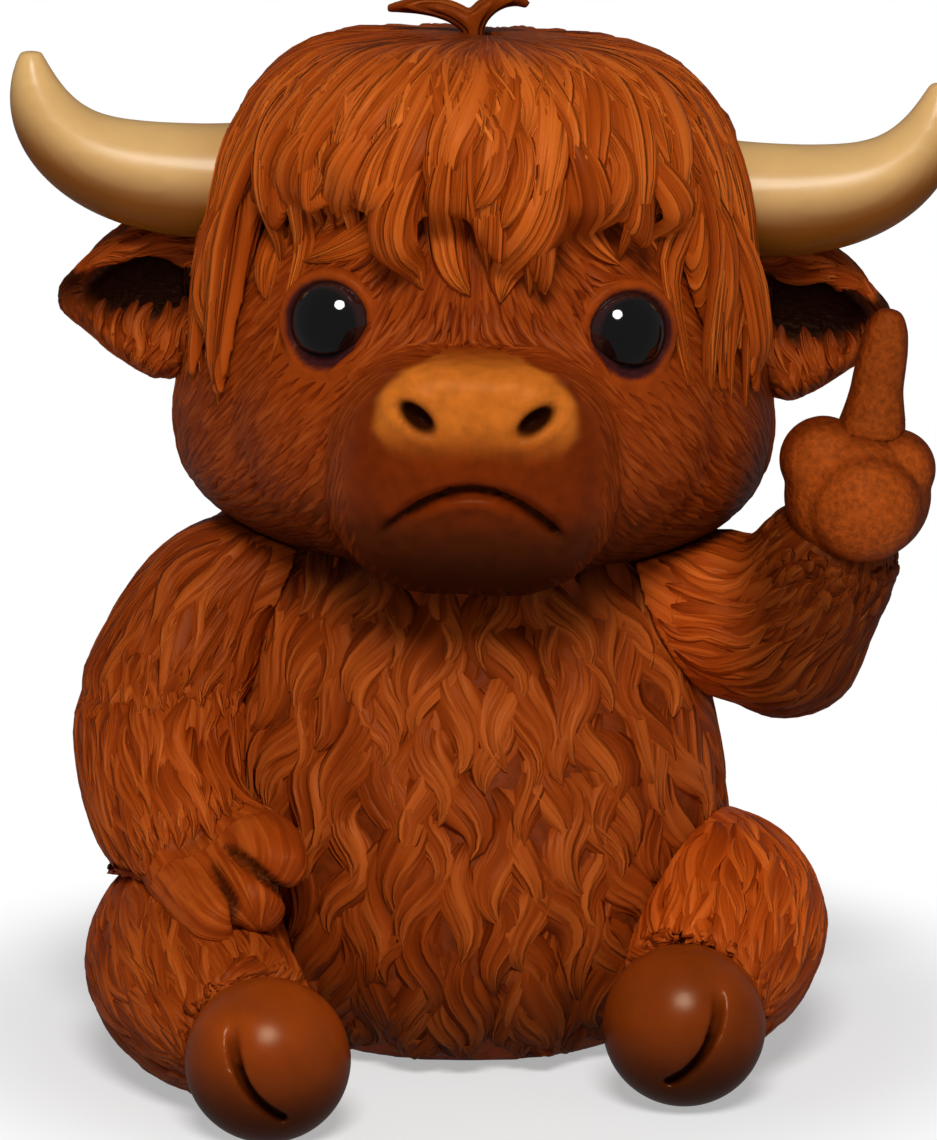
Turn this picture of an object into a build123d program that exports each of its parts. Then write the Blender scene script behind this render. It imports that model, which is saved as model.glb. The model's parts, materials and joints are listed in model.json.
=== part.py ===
"""Seated highland cow ornament: resin castings that are pinned and glued together.

The cow faces -Y, +X is on the viewer's right and +Z is up. The origin is the centre of the felt
under the body, on the surface that the ornament stands on. Sizes are millimetres. Left and right
are the viewer's.
"""

import os
from math import cos, pi, radians, sin

from build123d import *

# Fits that every joint shares: between castings, and round pins and pegs
GLUE_GAP = 0.2
PIN_GAP = 0.1
OVERRUN = 1.0
CASTING_WALL = 4.5

# Body: a pear that is hollow inside
TORSO_HEIGHT = 54.0
TORSO_WIDTH = 52.0
TORSO_DEPTH = 45.0
# level, width, depth and backward shift, as shares of height, width, depth and depth
TORSO_SHARES = [
    (0.00, 0.70, 0.74, 0.00),
    (0.07, 0.86, 0.88, 0.00),
    (0.32, 1.00, 1.00, 0.00),
    (0.60, 0.95, 0.88, 0.02),
    (0.84, 0.80, 0.72, 0.04),
    (1.00, 0.52, 0.50, 0.05),
]

# Carved locks of the body: staggered rows that lean to and fro, left out where something is set on
FUR_LENGTH = 14.0
FUR_WIDTH = 6.4
FUR_RELIEF = 1.3
FUR_SINK = 0.7
FUR_LEAN = 13.0
FUR_LOCKS_ROUND = 20
FUR_LEVEL_SHARES = (0.14, 0.285, 0.43, 0.575, 0.72)

# Flanged plug and felt that close the body
PLUG_RADIUS = 10.5
PLUG_FLANGE = 1.8
PLUG_FLANGE_THICKNESS = 1.2
PLUG_HEIGHT = 4.5
FELT_RIM = 1.2
FELT_THICKNESS = 1.0

# Head: it sits over the neck and leans to the right
NECK_OVERLAP = 7.0
HEAD_HEIGHT = 51.5
HEAD_WIDTH = 59.0
HEAD_DEPTH = 48.0
HEAD_LEAN = 2.0
# level, width, depth and backward shift, as shares of height, width, depth and depth
SKULL_SHARES = [
    (0.00, 0.54, 0.50, 0.04),
    (0.10, 0.84, 0.80, 0.04),
    (0.26, 1.00, 0.97, 0.04),
    (0.42, 0.97, 1.00, 0.03),
    (0.58, 0.88, 0.96, 0.02),
    (0.76, 0.73, 0.84, 0.02),
    (0.89, 0.55, 0.65, 0.02),
    (0.97, 0.31, 0.36, 0.02),
    (1.00, 0.12, 0.14, 0.02),
]
FACE_WIDTH = 47.0
FACE_DEPTH = 30.0
FACE_HEIGHT = 34.0
# sideways, backward and upward, as shares of the head's width, depth and height
FACE_PLACE_SHARES = (0.0, -0.22, 0.34)

# Muzzle: it reaches forward from the face and narrows towards the nose pad
MUZZLE_WIDTH = 28.5
MUZZLE_HEIGHT = 25.0
MUZZLE_REACH = 18.5
MUZZLE_RISE = 6.0
MUZZLE_PLACE_SHARES = (0.0, -0.31, 0.27)
# reach, width, height and rise, as shares of the four sizes above
MUZZLE_SHARES = [
    (0.00, 1.00, 1.00, 0.00),
    (0.42, 0.97, 0.97, 0.07),
    (0.74, 0.86, 0.78, 0.36),
    (0.93, 0.66, 0.52, 0.78),
    (1.00, 0.36, 0.26, 0.92),
]
MUZZLE_CORNER_SHARE = 0.42
NOSTRIL_LENGTH = 4.4
NOSTRIL_WIDTH = 2.2
NOSTRIL_DEPTH = 2.2
NOSTRIL_SLANT = 38.0
NOSTRIL_PLACE_SHARES = (0.093, -0.5, 0.41)
MOUTH_WIDTH = 16.0
MOUTH_DROOP = 4.2
MOUTH_LINE = 0.9
MOUTH_DEPTH = 1.2
MOUTH_LEVEL_SHARE = 0.275

# Eyes: domed beads with stems, set in sockets with a raised lid round each
EYE_RADIUS = 3.7
EYE_DOME = 2.2
EYE_SEAT = 1.4
EYE_STEM_RADIUS = 1.2
EYE_STEM_LENGTH = 4.0
EYE_TURN = 20.0
EYE_PLACE_SHARES = (0.237, -0.5, 0.532)
LID_THICKNESS = 1.5

# Forelock: a domed hair cap with locks that fan out from the crown over the brow
HAIR_THICKNESS = 2.4
HAIR_LEVEL_SHARE = 0.52
HAIR_WIDTH_SHARE = 0.86
HAIR_DEPTH_SHARE = 0.97
HAIR_FORWARD_SHARE = 0.02
HAIR_SQUARENESS = 3.0
CAP_LEVEL_SHARES = (0.42, 0.60, 0.76, 0.88, 0.96, 0.993)
LOCK_WIDTH = 5.9
LOCK_THICKNESS = 5.2
LOCK_REST = 0.6
LOCK_SWAY = 4.0
# direction from the front and fall from the crown of each lock, in degrees
LOCK_FALLS = [
    (-76, 98), (-64, 100), (-52, 80), (-41, 76), (-29, 72), (-17, 83), (-6, 74),
    (4, 82), (14, 86), (26, 74), (38, 80), (50, 76), (62, 96), (75, 98),
    (112, 88), (129, 84), (146, 88), (163, 84), (180, 88), (197, 84), (214, 88), (231, 84), (248, 88),
]
# fall, width and thickness along a lock, as shares of its own fall, width and thickness
LOCK_SHARES = [
    (0.24, 0.50, 0.14),
    (0.50, 0.90, 0.75),
    (0.76, 1.00, 1.00),
    (0.92, 0.72, 0.80),
    (1.00, 0.20, 0.34),
]

# Two loose curls that spring from the crown
CURL_LENGTH = 8.5
CURL_RISE = 2.4
CURL_RADIUS = 1.1
CURL_PEG = 1.6
# length and rise of each curl, as shares of the two sizes above; a negative length goes to the left
CURL_SIZE_SHARES = [(-1.0, 0.85), (0.62, 1.25)]
# along, rise and thickness, as shares of the length, the rise and the radius
CURL_SHARES = [
    (0.00, 0.00, 1.00),
    (0.22, 0.70, 1.00),
    (0.62, 1.00, 0.80),
    (1.00, 0.80, 0.34),
]

# Horns: they leave the head level and sweep out, forward and up
HORN_RADIUS = 5.8
HORN_SPAN = 29.6
HORN_RISE = 11.5
HORN_FORWARD = 3.0
HORN_SAG = 2.0
HORN_PLACE_SHARES = (0.25, 0.0, 0.757)
# place along the horn and thickness, as shares of its length and radius
HORN_SHARES = [(0.0, 1.0), (0.2, 1.0), (0.4, 0.96), (0.6, 0.84), (0.78, 0.64), (0.91, 0.42), (1.0, 0.18)]

# Ears: cupped leaves that point outwards below the horns
EAR_LENGTH = 17.6
EAR_HEIGHT = 17.0
EAR_THICKNESS = 8.0
EAR_DROOP = 4.0
EAR_WALL = 1.9
EAR_CUP = 2.9
EAR_PEG_RADIUS = 2.0
EAR_PEG_LENGTH = 5.0
EAR_PLACE_SHARES = (0.40, 0.04, 0.545)
# length, height and thickness, as shares of the three sizes above
EAR_SHARES = [
    (0.00, 0.60, 0.66),
    (0.22, 0.94, 0.95),
    (0.48, 1.00, 1.00),
    (0.72, 0.80, 0.80),
    (0.89, 0.48, 0.52),
    (1.00, 0.18, 0.26),
]

# Resting arm on the left: places are shares of the body's width, depth and height
REST_ARM_RADIUS = 9.0
REST_ARM_PLACE_SHARES = [
    (-0.317, 0.033, 0.852),
    (-0.490, 0.000, 0.778),
    (-0.573, -0.078, 0.602),
    (-0.562, -0.211, 0.472),
    (-0.485, -0.400, 0.382),
]
# place along the arm and thickness, as shares of its length and radius
REST_ARM_SHARES = [(0.0, 0.80), (0.25, 0.95), (0.5, 1.0), (0.75, 0.93), (1.0, 0.74)]
DIGIT_RADIUS = 4.0
DIGIT_ROOT_SHARES = [(-0.538, -0.378, 0.344), (-0.485, -0.378, 0.381), (-0.431, -0.367, 0.430)]
DIGIT_TIP_SHARES = [(-0.469, -0.591, 0.304), (-0.379, -0.622, 0.352), (-0.319, -0.591, 0.422)]
# place along a digit and thickness, as shares of its length and radius
DIGIT_SHARES = [(0.0, 1.05), (0.35, 1.12), (0.65, 1.02), (0.87, 0.74), (1.0, 0.36)]

# Raised arm on the right: places are shares of the body's width, depth and height
ELBOW_RADIUS = 8.4
RAISED_SHOULDER_SHARES = (0.288, 0.022, 0.843)
RAISED_ELBOW_SHARES = (0.600, -0.089, 0.759)
RAISED_WRIST_SHARES = (0.723, -0.209, 1.000)
# place along and thickness, as shares of the length and of the elbow's radius
UPPER_ARM_SHARES = [(0.0, 0.90), (0.45, 0.98), (1.0, 0.96)]
FOREARM_SHARES = [(0.0, 0.96), (0.5, 0.86), (1.0, 0.71)]

# Fist with two knuckle lobes and a front pad, and the raised finger
FIST_WIDTH = 14.4
FIST_DEPTH = 12.4
FIST_HEIGHT = 13.4
FIST_PLACE_SHARES = (0.731, -0.227, 1.044)
# sideways, backward and upward shift and three radii of the lobes and the pad, as shares of the
# fist's width, depth and height
FIST_LOBE_SHARES = [
    (-0.235, 0.02, 0.26, 0.30, 0.35, 0.32),
    (0.255, 0.02, 0.19, 0.275, 0.33, 0.295),
    (0.030, -0.20, -0.04, 0.40, 0.42, 0.42),
]
FINGER_RADIUS = 2.65
FINGER_LENGTH = 16.3
FINGER_LEAN = 9.0
FINGER_ROOT_SHARES = (0.03, 0.05, 0.16)
# place along the finger and thickness, as shares of its length and radius
FINGER_SHARES = [(0.0, 1.02), (0.3, 1.0), (0.55, 0.97), (0.75, 0.91), (0.9, 0.74), (1.0, 0.36)]

# Legs: hip, knee and ankle as shares of the body's width, depth and height
LEG_RADIUS = 10.6
LEFT_LEG_PLACE_SHARES = [(-0.346, 0.022, 0.204), (-0.519, -0.289, 0.204), (-0.392, -0.700, 0.148)]
RIGHT_LEG_PLACE_SHARES = [(0.346, 0.022, 0.222), (0.477, -0.200, 0.248), (0.408, -0.500, 0.163)]
# place along the leg and thickness, as shares of its length and radius
LEG_SHARES = [(0.0, 0.95), (0.28, 1.0), (0.55, 0.97), (0.8, 0.84), (1.0, 0.70)]

# Hooves: each is set against the end of its leg
HOOF_WIDTH = 15.8
HOOF_DEPTH = 15.0
HOOF_HEIGHT = 15.8
CLEFT_WIDTH = 0.9
CLEFT_DEPTH = 3.0
# sideways and forward from the ankle, and up from the floor, as shares of the hoof's three sizes
LEFT_HOOF_SHARES = (0.09, -0.43, 0.475)
RIGHT_HOOF_SHARES = (-0.03, -0.39, 0.506)
# points of the cleft on the left hoof, as shares of its half width and half height; the right hoof
# has the mirror image
CLEFT_SHARES = [(-0.36, 0.84), (-0.30, 0.10), (0.26, -0.52)]

# Tail: it lies round the rump and ends in a tuft, places as shares of the body's three sizes
TAIL_RADIUS = 2.7
TAIL_PEG_RADIUS = 1.2
TAIL_PEG_LENGTH = 3.4
TAIL_PLACE_SHARES = [
    (0.020, 0.440, 0.240),
    (0.183, 0.489, 0.130),
    (0.338, 0.409, 0.090),
    (0.462, 0.289, 0.085),
]
# place along the tail and thickness, as shares of its length and radius
TAIL_SHARES = [(0.0, 1.1), (0.25, 0.95), (0.5, 0.95), (0.72, 1.4), (0.88, 1.2), (1.0, 0.5)]

# Pins that tie the castings together
NECK_DOWEL_RADIUS = 4.0
NECK_DOWEL_LENGTH = 8.0
LIMB_DOWEL_RADIUS = 1.6
LIMB_DOWEL_LENGTH = 8.0
HORN_PIN_RADIUS = 1.5
HORN_PIN_LENGTH = 10.0
HOOF_PIN_RADIUS = 1.5
HOOF_PIN_LENGTH = 8.0
HAND_PIN_RADIUS = 1.2
HAND_PIN_LENGTH = 8.0
FINGER_PIN_RADIUS = 0.8
FINGER_PIN_LENGTH = 7.0

# Sizes that follow from the ones above
HEAD_BOTTOM = TORSO_HEIGHT - NECK_OVERLAP
HAIR_LEVEL = HEAD_BOTTOM + HAIR_LEVEL_SHARE * HEAD_HEIGHT
HAIR_HEIGHT = HEAD_BOTTOM + HEAD_HEIGHT + HAIR_THICKNESS - HAIR_LEVEL
HAIR_WIDTH = HAIR_WIDTH_SHARE * HEAD_WIDTH
HAIR_DEPTH = HAIR_DEPTH_SHARE * HEAD_DEPTH
HAIR_FORWARD = HAIR_FORWARD_SHARE * HEAD_DEPTH
FLANGE_RADIUS = PLUG_RADIUS + PLUG_FLANGE
FELT_RADIUS = FLANGE_RADIUS + FELT_RIM
SEAM_TURN = (0, 0, 90)
LEAN = Location((0, 0, HEAD_BOTTOM), (0, HEAD_LEAN, 0)) * Location((0, 0, -HEAD_BOTTOM))


def on_body(shares):
    """A place given as shares of the body's width, depth and height."""
    across, back, up = shares
    return Vector(across * TORSO_WIDTH, back * TORSO_DEPTH, up * TORSO_HEIGHT)


def on_head(shares):
    """A place given as shares of the head's width, depth and height, before the head leans."""
    across, back, up = shares
    return Vector(across * HEAD_WIDTH, back * HEAD_DEPTH, HEAD_BOTTOM + up * HEAD_HEIGHT)


def stacked_body(height, width, depth, shares, base=0.0, grow=0.0, seam_behind=False):
    """A body lofted upwards through level ellipses, with its wall moved out by grow."""
    with BuildPart() as body:
        for level, across, deep, back in shares:
            rise = level * height + (grow if level == shares[-1][0] else 0)
            radii = (across * width / 2 + grow, deep * depth / 2 + grow)
            with BuildSketch(Plane.XY.offset(base + rise)):
                with Locations((0, back * depth)):
                    if seam_behind:
                        Ellipse(*reversed(radii), rotation=90)
                    else:
                        Ellipse(*radii)
        loft()
    return body.part


def ellipsoid(centre, radii):
    """A rounded lump of three radii."""
    with BuildPart() as lump:
        Sphere(1, rotation=SEAM_TURN)
        scale(by=radii)
    return lump.part.moved(Location(centre))


def tube(spine, radius, shares, across, grow=0.0):
    """A round body lofted along a spine; across keeps its sections from twisting."""
    with BuildPart() as body:
        for along, thick in shares:
            with BuildSketch(Plane(origin=spine @ along, x_dir=across, z_dir=spine % along)):
                Circle(thick * radius + grow)
        loft()
    return body.part


def limb(points, radius, shares, across, grow=0.0):
    """A round limb along a smooth line through its points."""
    with BuildLine() as path:
        Spline(*points)
    return tube(path.line, radius, shares, across, grow)


def fused(*pieces):
    """Several lumps of one casting as one solid."""
    with BuildPart() as casting:
        for piece in pieces:
            add(piece)
    return casting.part


def cut_away(*rooms):
    """Cuts the room for neighbours and pins out of the piece that is being built."""
    for room in rooms:
        add(room, mode=Mode.SUBTRACT)


def above_floor(piece):
    """A casting with its underside ground flat on the floor."""
    with BuildPart() as ground:
        add(piece)
        split(bisect_by=Plane.XY, keep=Keep.TOP)
    return ground.part


def mirrored(piece):
    """The same piece on the other side of the head."""
    with BuildPart() as other:
        mirror(piece, about=Plane.YZ)
    return other.part


def seat(casting, start, way):
    """The plane where a line leaves a casting."""
    point, _ = casting.find_intersection_points(Axis(start, way))[-1]
    return Plane(origin=point, z_dir=way)


def pin(place, radius, length, gap=0.0):
    """A straight pin across a joint, or with a gap the hole that it goes into."""
    with BuildPart() as straight:
        Cylinder(radius + gap, length + 2 * gap)
    return straight.part.moved(place.location)


def write(name, piece):
    """Labels a finished piece and writes its file."""
    piece.label = name
    export_step(piece, f"parts/{name}.step")


def torso_form(grow=0.0):
    """The outside of the body."""
    return stacked_body(TORSO_HEIGHT, TORSO_WIDTH, TORSO_DEPTH, TORSO_SHARES, grow=grow, seam_behind=True)


def body_lock(level, turn, lean):
    """One carved lock of the body: its middle, and a long low lump that lies there on the surface."""
    way = Vector(sin(radians(turn)), -cos(radians(turn)), 0)
    middle, out = body.find_intersection_points(Axis((0, 0, level * TORSO_HEIGHT), way))[-1]
    lump = ellipsoid((0, 0, -FUR_SINK), (FUR_WIDTH / 2, FUR_LENGTH / 2, FUR_RELIEF + FUR_SINK))
    flat = Plane(origin=middle, x_dir=(-way.Y, way.X, 0), z_dir=out)
    return middle, lump.moved(Location((0, 0, 0), (0, 0, lean))).moved(flat.location)


def clear_of(piece, spot, gap):
    """True if a spot lies outside a piece and farther from its surface than the gap."""
    return piece.distance_to(spot) > gap and not any(solid.is_inside(spot) for solid in piece.solids())


def body_locks(neighbours):
    """All carved locks of the body that stay clear of the pieces set on it."""
    locks = []
    for row, level in enumerate(FUR_LEVEL_SHARES):
        for column in range(FUR_LOCKS_ROUND):
            turn = 360 * (column + row % 2 / 2) / FUR_LOCKS_ROUND
            middle, lock = body_lock(level, turn, FUR_LEAN if (row + column) % 2 else -FUR_LEAN)
            if all(clear_of(piece, middle, FUR_LENGTH / 2 + GLUE_GAP) for piece in neighbours):
                locks.append(lock)
    return locks


def torso_cavity():
    """The hollow of the body, between its floor and its neck."""
    with BuildPart() as hollow:
        add(torso_form(-CASTING_WALL))
        split(bisect_by=Plane.XY.offset(CASTING_WALL), keep=Keep.TOP)
    return hollow.part


def closure(gap=0.0):
    """The flanged plug above the felt, or with a gap the stepped bore that it closes."""
    upwards = (Align.CENTER, Align.CENTER, Align.MIN)
    with BuildPart() as plug:
        with Locations((0, 0, FELT_THICKNESS)):
            Cylinder(FLANGE_RADIUS + gap, PLUG_FLANGE_THICKNESS + gap, align=upwards)
            Cylinder(PLUG_RADIUS + gap, PLUG_HEIGHT + gap, align=upwards)
    return plug.part


def disc(radius, thickness):
    """A flat disc on the floor."""
    with BuildPart() as flat:
        Cylinder(radius, thickness, align=(Align.CENTER, Align.CENTER, Align.MIN))
    return flat.part


def muzzle_form(grow=0.0):
    """The muzzle, lofted forward through rounded rectangles."""
    root = on_head(MUZZLE_PLACE_SHARES)
    with BuildPart() as muzzle:
        for reach, wide, tall, rise in MUZZLE_SHARES:
            forward = reach * (MUZZLE_REACH + grow)
            high = tall * MUZZLE_HEIGHT + 2 * grow
            centre = root + Vector(0, -forward, rise * MUZZLE_RISE)
            with BuildSketch(Plane(origin=centre, x_dir=(1, 0, 0), z_dir=(0, -1, 0))):
                RectangleRounded(wide * MUZZLE_WIDTH + 2 * grow, high, MUZZLE_CORNER_SHARE * high)
        loft()
    return muzzle.part


def head_form(grow=0.0):
    """The outside of the head before it leans: skull with mane, face and muzzle."""
    skull = stacked_body(HEAD_HEIGHT, HEAD_WIDTH, HEAD_DEPTH, SKULL_SHARES, HEAD_BOTTOM, grow)
    radii = (FACE_WIDTH / 2 + grow, FACE_DEPTH / 2 + grow, FACE_HEIGHT / 2 + grow)
    return fused(skull, ellipsoid(on_head(FACE_PLACE_SHARES), radii), muzzle_form(grow))


def front_seat(casting, shares, turn=0.0):
    """The plane on the front of a casting behind a place, turned outwards on its side."""
    place = on_head(shares)
    point, _ = casting.find_intersection_points(Axis(place, (0, 1, 0)))[0]
    outwards = radians(turn) * (1 if place.X > 0 else -1)
    looks = (sin(outwards), -cos(outwards), 0)
    return Plane(origin=point, x_dir=(cos(outwards), sin(outwards), 0), z_dir=looks)


def other_side(shares):
    """The place that mirrors a place of the head."""
    across, back, up = shares
    return (-across, back, up)


def eye_bead(gap=0.0):
    """A domed bead on a stem, or with a gap the socket that it sits in; it looks along +Z."""
    with BuildPart() as bead:
        with BuildSketch(Plane.XZ):
            with BuildLine():
                Polyline(
                    (0, EYE_DOME),
                    (0, -EYE_SEAT - EYE_STEM_LENGTH - gap),
                    (EYE_STEM_RADIUS + gap, -EYE_SEAT - EYE_STEM_LENGTH - gap),
                    (EYE_STEM_RADIUS + gap, -EYE_SEAT - gap),
                    (EYE_RADIUS + gap, -EYE_SEAT - gap),
                    (EYE_RADIUS + gap, 0),
                )
                RadiusArc((EYE_RADIUS + gap, 0), (0, EYE_DOME), -dome_radius(gap))
            make_face()
        revolve(axis=Axis.Z)
    return bead.part


def dome_radius(gap):
    """The radius of the ball that the front of an eye is a cap of."""
    rim = EYE_RADIUS + gap
    return (rim * rim + EYE_DOME * EYE_DOME) / (2 * EYE_DOME)


def eyelid():
    """The raised rim round an eye."""
    with BuildPart() as rim:
        Torus(EYE_RADIUS + LID_THICKNESS / 2, LID_THICKNESS / 2)
    return rim.part


def nostril():
    """The slanting pocket of a nostril, on the right of the nose."""
    pocket = ellipsoid((0, 0, 0), (NOSTRIL_LENGTH / 2, NOSTRIL_WIDTH / 2, NOSTRIL_DEPTH))
    return pocket.moved(Location((0, 0, 0), (0, 0, NOSTRIL_SLANT)))


def mouth_groove():
    """The drooping line of the mouth, an even depth into the muzzle."""
    level = on_head((0, 0, MOUTH_LEVEL_SHARE)).Z
    root = on_head(MUZZLE_PLACE_SHARES).Y
    with BuildPart() as groove:
        with BuildSketch(Plane(origin=(0, root, level), x_dir=(1, 0, 0), z_dir=(0, -1, 0))):
            with BuildLine():
                ThreePointArc((-MOUTH_WIDTH / 2, -MOUTH_DROOP), (0, 0), (MOUTH_WIDTH / 2, -MOUTH_DROOP))
            trace(line_width=MOUTH_LINE)
        extrude(amount=MUZZLE_REACH + OVERRUN)
        add(head_form(-MOUTH_DEPTH), mode=Mode.SUBTRACT)
    return groove.part


def hair_point(head, direction, fall):
    """A point on the run of a lock: on the hair dome, or on the head where that stands out further."""
    turn = radians(direction)
    drop = radians(fall)
    ring = abs(sin(drop)) ** (2 / HAIR_SQUARENESS)
    above = abs(cos(drop)) ** (2 / HAIR_SQUARENESS) * (1 if fall < 90 else -1)
    axis_point = Vector(0, -HAIR_FORWARD, HAIR_LEVEL + above * HAIR_HEIGHT)
    out = Vector(HAIR_WIDTH / 2 * ring * sin(turn), -HAIR_DEPTH / 2 * ring * cos(turn), 0)
    reach = out.length
    for point, _ in head.find_intersection_points(Axis(axis_point, out))[-1:]:
        reach = max(reach, (point - axis_point).length + LOCK_REST)
    return axis_point + out.normalized() * reach


def hair_lock(head, direction, fall):
    """One lock of the forelock, lofted from near the crown to its pointed tip."""
    step = fall * (LOCK_SHARES[-1][0] - LOCK_SHARES[-2][0])
    sideways = (cos(radians(direction)), sin(radians(direction)), 0)
    with BuildPart() as lock:
        for along, wide, thick in LOCK_SHARES:
            swayed = direction + LOCK_SWAY * sin(2 * pi * along)
            here = hair_point(head, swayed, along * fall)
            ahead = hair_point(head, swayed, along * fall + step)
            with BuildSketch(Plane(origin=here, x_dir=sideways, z_dir=ahead - here)):
                Ellipse(wide * LOCK_WIDTH / 2, thick * LOCK_THICKNESS / 2)
        loft()
    return lock.part


def hair_cap():
    """The domed top of the forelock."""
    with BuildPart() as cap:
        for level in CAP_LEVEL_SHARES:
            ring = (1 - level**HAIR_SQUARENESS) ** (1 / HAIR_SQUARENESS)
            with BuildSketch(Plane.XY.offset(HAIR_LEVEL + level * HAIR_HEIGHT)):
                with Locations((0, -HAIR_FORWARD)):
                    Ellipse(ring * HAIR_WIDTH / 2, ring * HAIR_DEPTH / 2)
        loft()
    return cap.part


def curl(length, rise):
    """One loose curl that springs from the crown; a negative length sends it to the left."""
    crown = Vector(0, 0, HAIR_LEVEL + HAIR_HEIGHT)
    points = [crown + Vector(out * length, 0, up * rise) for out, up, _ in CURL_SHARES]
    return limb(points, CURL_RADIUS, [(out, thick) for out, _, thick in CURL_SHARES], (0, 1, 0))


def curl_peg(gap=0.0):
    """The peg under the curls, or with a gap its hole."""
    with BuildPart() as peg:
        with Locations((0, 0, HAIR_LEVEL + HAIR_HEIGHT)):
            Cylinder(CURL_RADIUS + gap, 2 * (CURL_PEG + gap))
    return peg.part


def horn_form(grow=0.0):
    """The right horn, lofted along a curve that sags, then sweeps forward and up."""
    root = on_head(HORN_PLACE_SHARES)
    tip = root + Vector(HORN_SPAN, -HORN_FORWARD, HORN_RISE)
    level_out = root + Vector(HORN_SPAN / 2, 0, -HORN_SAG)
    turn_up = root + Vector(HORN_SPAN, -HORN_FORWARD, -HORN_SAG)
    with BuildLine() as path:
        Bezier(root, level_out, turn_up, tip)
    return tube(path.line, HORN_RADIUS, HORN_SHARES, (0, 1, 0), grow)


def ear_leaf(inset, forward):
    """The leaf of the right ear; inset and forward make the hollow of its cup."""
    root = on_head(EAR_PLACE_SHARES)
    with BuildPart() as leaf:
        for out, tall, thick in EAR_SHARES:
            centre = root + Vector(out * (EAR_LENGTH - inset), -forward, -out * EAR_DROOP)
            slim = 1 - 2 * inset / EAR_HEIGHT
            with BuildSketch(Plane(origin=centre, x_dir=(0, 1, 0), z_dir=(1, 0, 0))):
                Ellipse(thick * slim * EAR_THICKNESS / 2, tall * slim * EAR_HEIGHT / 2)
        loft()
    return leaf.part


def resting_arm_form():
    """The resting arm: one tapered sleeve and three blunt digits."""
    route = [on_body(place) for place in REST_ARM_PLACE_SHARES]
    sleeve = limb(route, REST_ARM_RADIUS, REST_ARM_SHARES, (0, 1, 0))
    digits = [
        limb([on_body(root), on_body(tip)], DIGIT_RADIUS, DIGIT_SHARES, (1, 0, 0))
        for root, tip in zip(DIGIT_ROOT_SHARES, DIGIT_TIP_SHARES)
    ]
    return fused(sleeve, *digits)


def raised_arm_form():
    """The raised arm: upper arm, elbow and forearm."""
    shoulder, elbow, wrist = (
        on_body(place) for place in (RAISED_SHOULDER_SHARES, RAISED_ELBOW_SHARES, RAISED_WRIST_SHARES)
    )
    joint = ellipsoid(elbow, (ELBOW_RADIUS, ELBOW_RADIUS, ELBOW_RADIUS))
    upper = limb([shoulder, elbow], ELBOW_RADIUS, UPPER_ARM_SHARES, (0, 1, 0))
    forearm = limb([elbow, wrist], ELBOW_RADIUS, FOREARM_SHARES, (0, 1, 0))
    return fused(joint, upper, forearm)


def fist_form(grow=0.0):
    """The closed fist: a rounded palm with two knuckle lobes and a front pad."""
    centre = on_body(FIST_PLACE_SHARES)
    palm = ellipsoid(centre, (FIST_WIDTH / 2 + grow, FIST_DEPTH / 2 + grow, FIST_HEIGHT / 2 + grow))
    lobes = [
        ellipsoid(
            centre + Vector(over * FIST_WIDTH, back * FIST_DEPTH, up * FIST_HEIGHT),
            (wide * FIST_WIDTH + grow, deep * FIST_DEPTH + grow, tall * FIST_HEIGHT + grow),
        )
        for over, back, up, wide, deep, tall in FIST_LOBE_SHARES
    ]
    return fused(palm, *lobes)


def finger_ends():
    """The root and the tip of the raised finger."""
    over, back, up = FINGER_ROOT_SHARES
    root = on_body(FIST_PLACE_SHARES) + Vector(over * FIST_WIDTH, back * FIST_DEPTH, up * FIST_HEIGHT)
    lean = radians(FINGER_LEAN)
    return root, root + Vector(sin(lean), 0, cos(lean)) * FINGER_LENGTH


def leg_form(places, grow=0.0):
    """A leg, ground flat on the floor."""
    return above_floor(limb([on_body(place) for place in places], LEG_RADIUS, LEG_SHARES, (1, 0, 0), grow))


def hoof_centre(places, shares):
    """The middle of the hoof at the end of a leg."""
    ankle = on_body(places[-1])
    across, forward, up = shares
    return Vector(ankle.X + across * HOOF_WIDTH, ankle.Y + forward * HOOF_DEPTH, up * HOOF_HEIGHT)


def hoof_form(centre, grow=0.0):
    """A rounded hoof, ground flat on the floor."""
    radii = (HOOF_WIDTH / 2 + grow, HOOF_DEPTH / 2 + grow, HOOF_HEIGHT / 2 + grow)
    return above_floor(ellipsoid(centre, radii))


def cleft(centre, side):
    """The curved groove in the front of a hoof; side is 1 on the left hoof, -1 on its mirror image."""
    deepest = centre + Vector(0, CLEFT_DEPTH - HOOF_DEPTH / 2, 0)
    points = [(side * across * HOOF_WIDTH / 2, up * HOOF_HEIGHT / 2) for across, up in CLEFT_SHARES]
    with BuildPart() as groove:
        with BuildSketch(Plane(origin=deepest, x_dir=(1, 0, 0), z_dir=(0, -1, 0))):
            with BuildLine():
                ThreePointArc(*points)
            trace(line_width=CLEFT_WIDTH)
        extrude(amount=CLEFT_DEPTH + OVERRUN)
    return groove.part


os.makedirs("parts", exist_ok=True)

# Castings that others are fitted to, grown by the glue gap where they cut
body = torso_form()
body_room = torso_form(GLUE_GAP)
plain_head = head_form()
plain_head_room = head_form(GLUE_GAP)
head_room = plain_head_room.moved(LEAN)
fist_room = fist_form(GLUE_GAP)
right_horn_room = horn_form(GLUE_GAP)
left_leg_room = leg_form(LEFT_LEG_PLACE_SHARES, GLUE_GAP)
right_leg_room = leg_form(RIGHT_LEG_PLACE_SHARES, GLUE_GAP)

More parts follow.
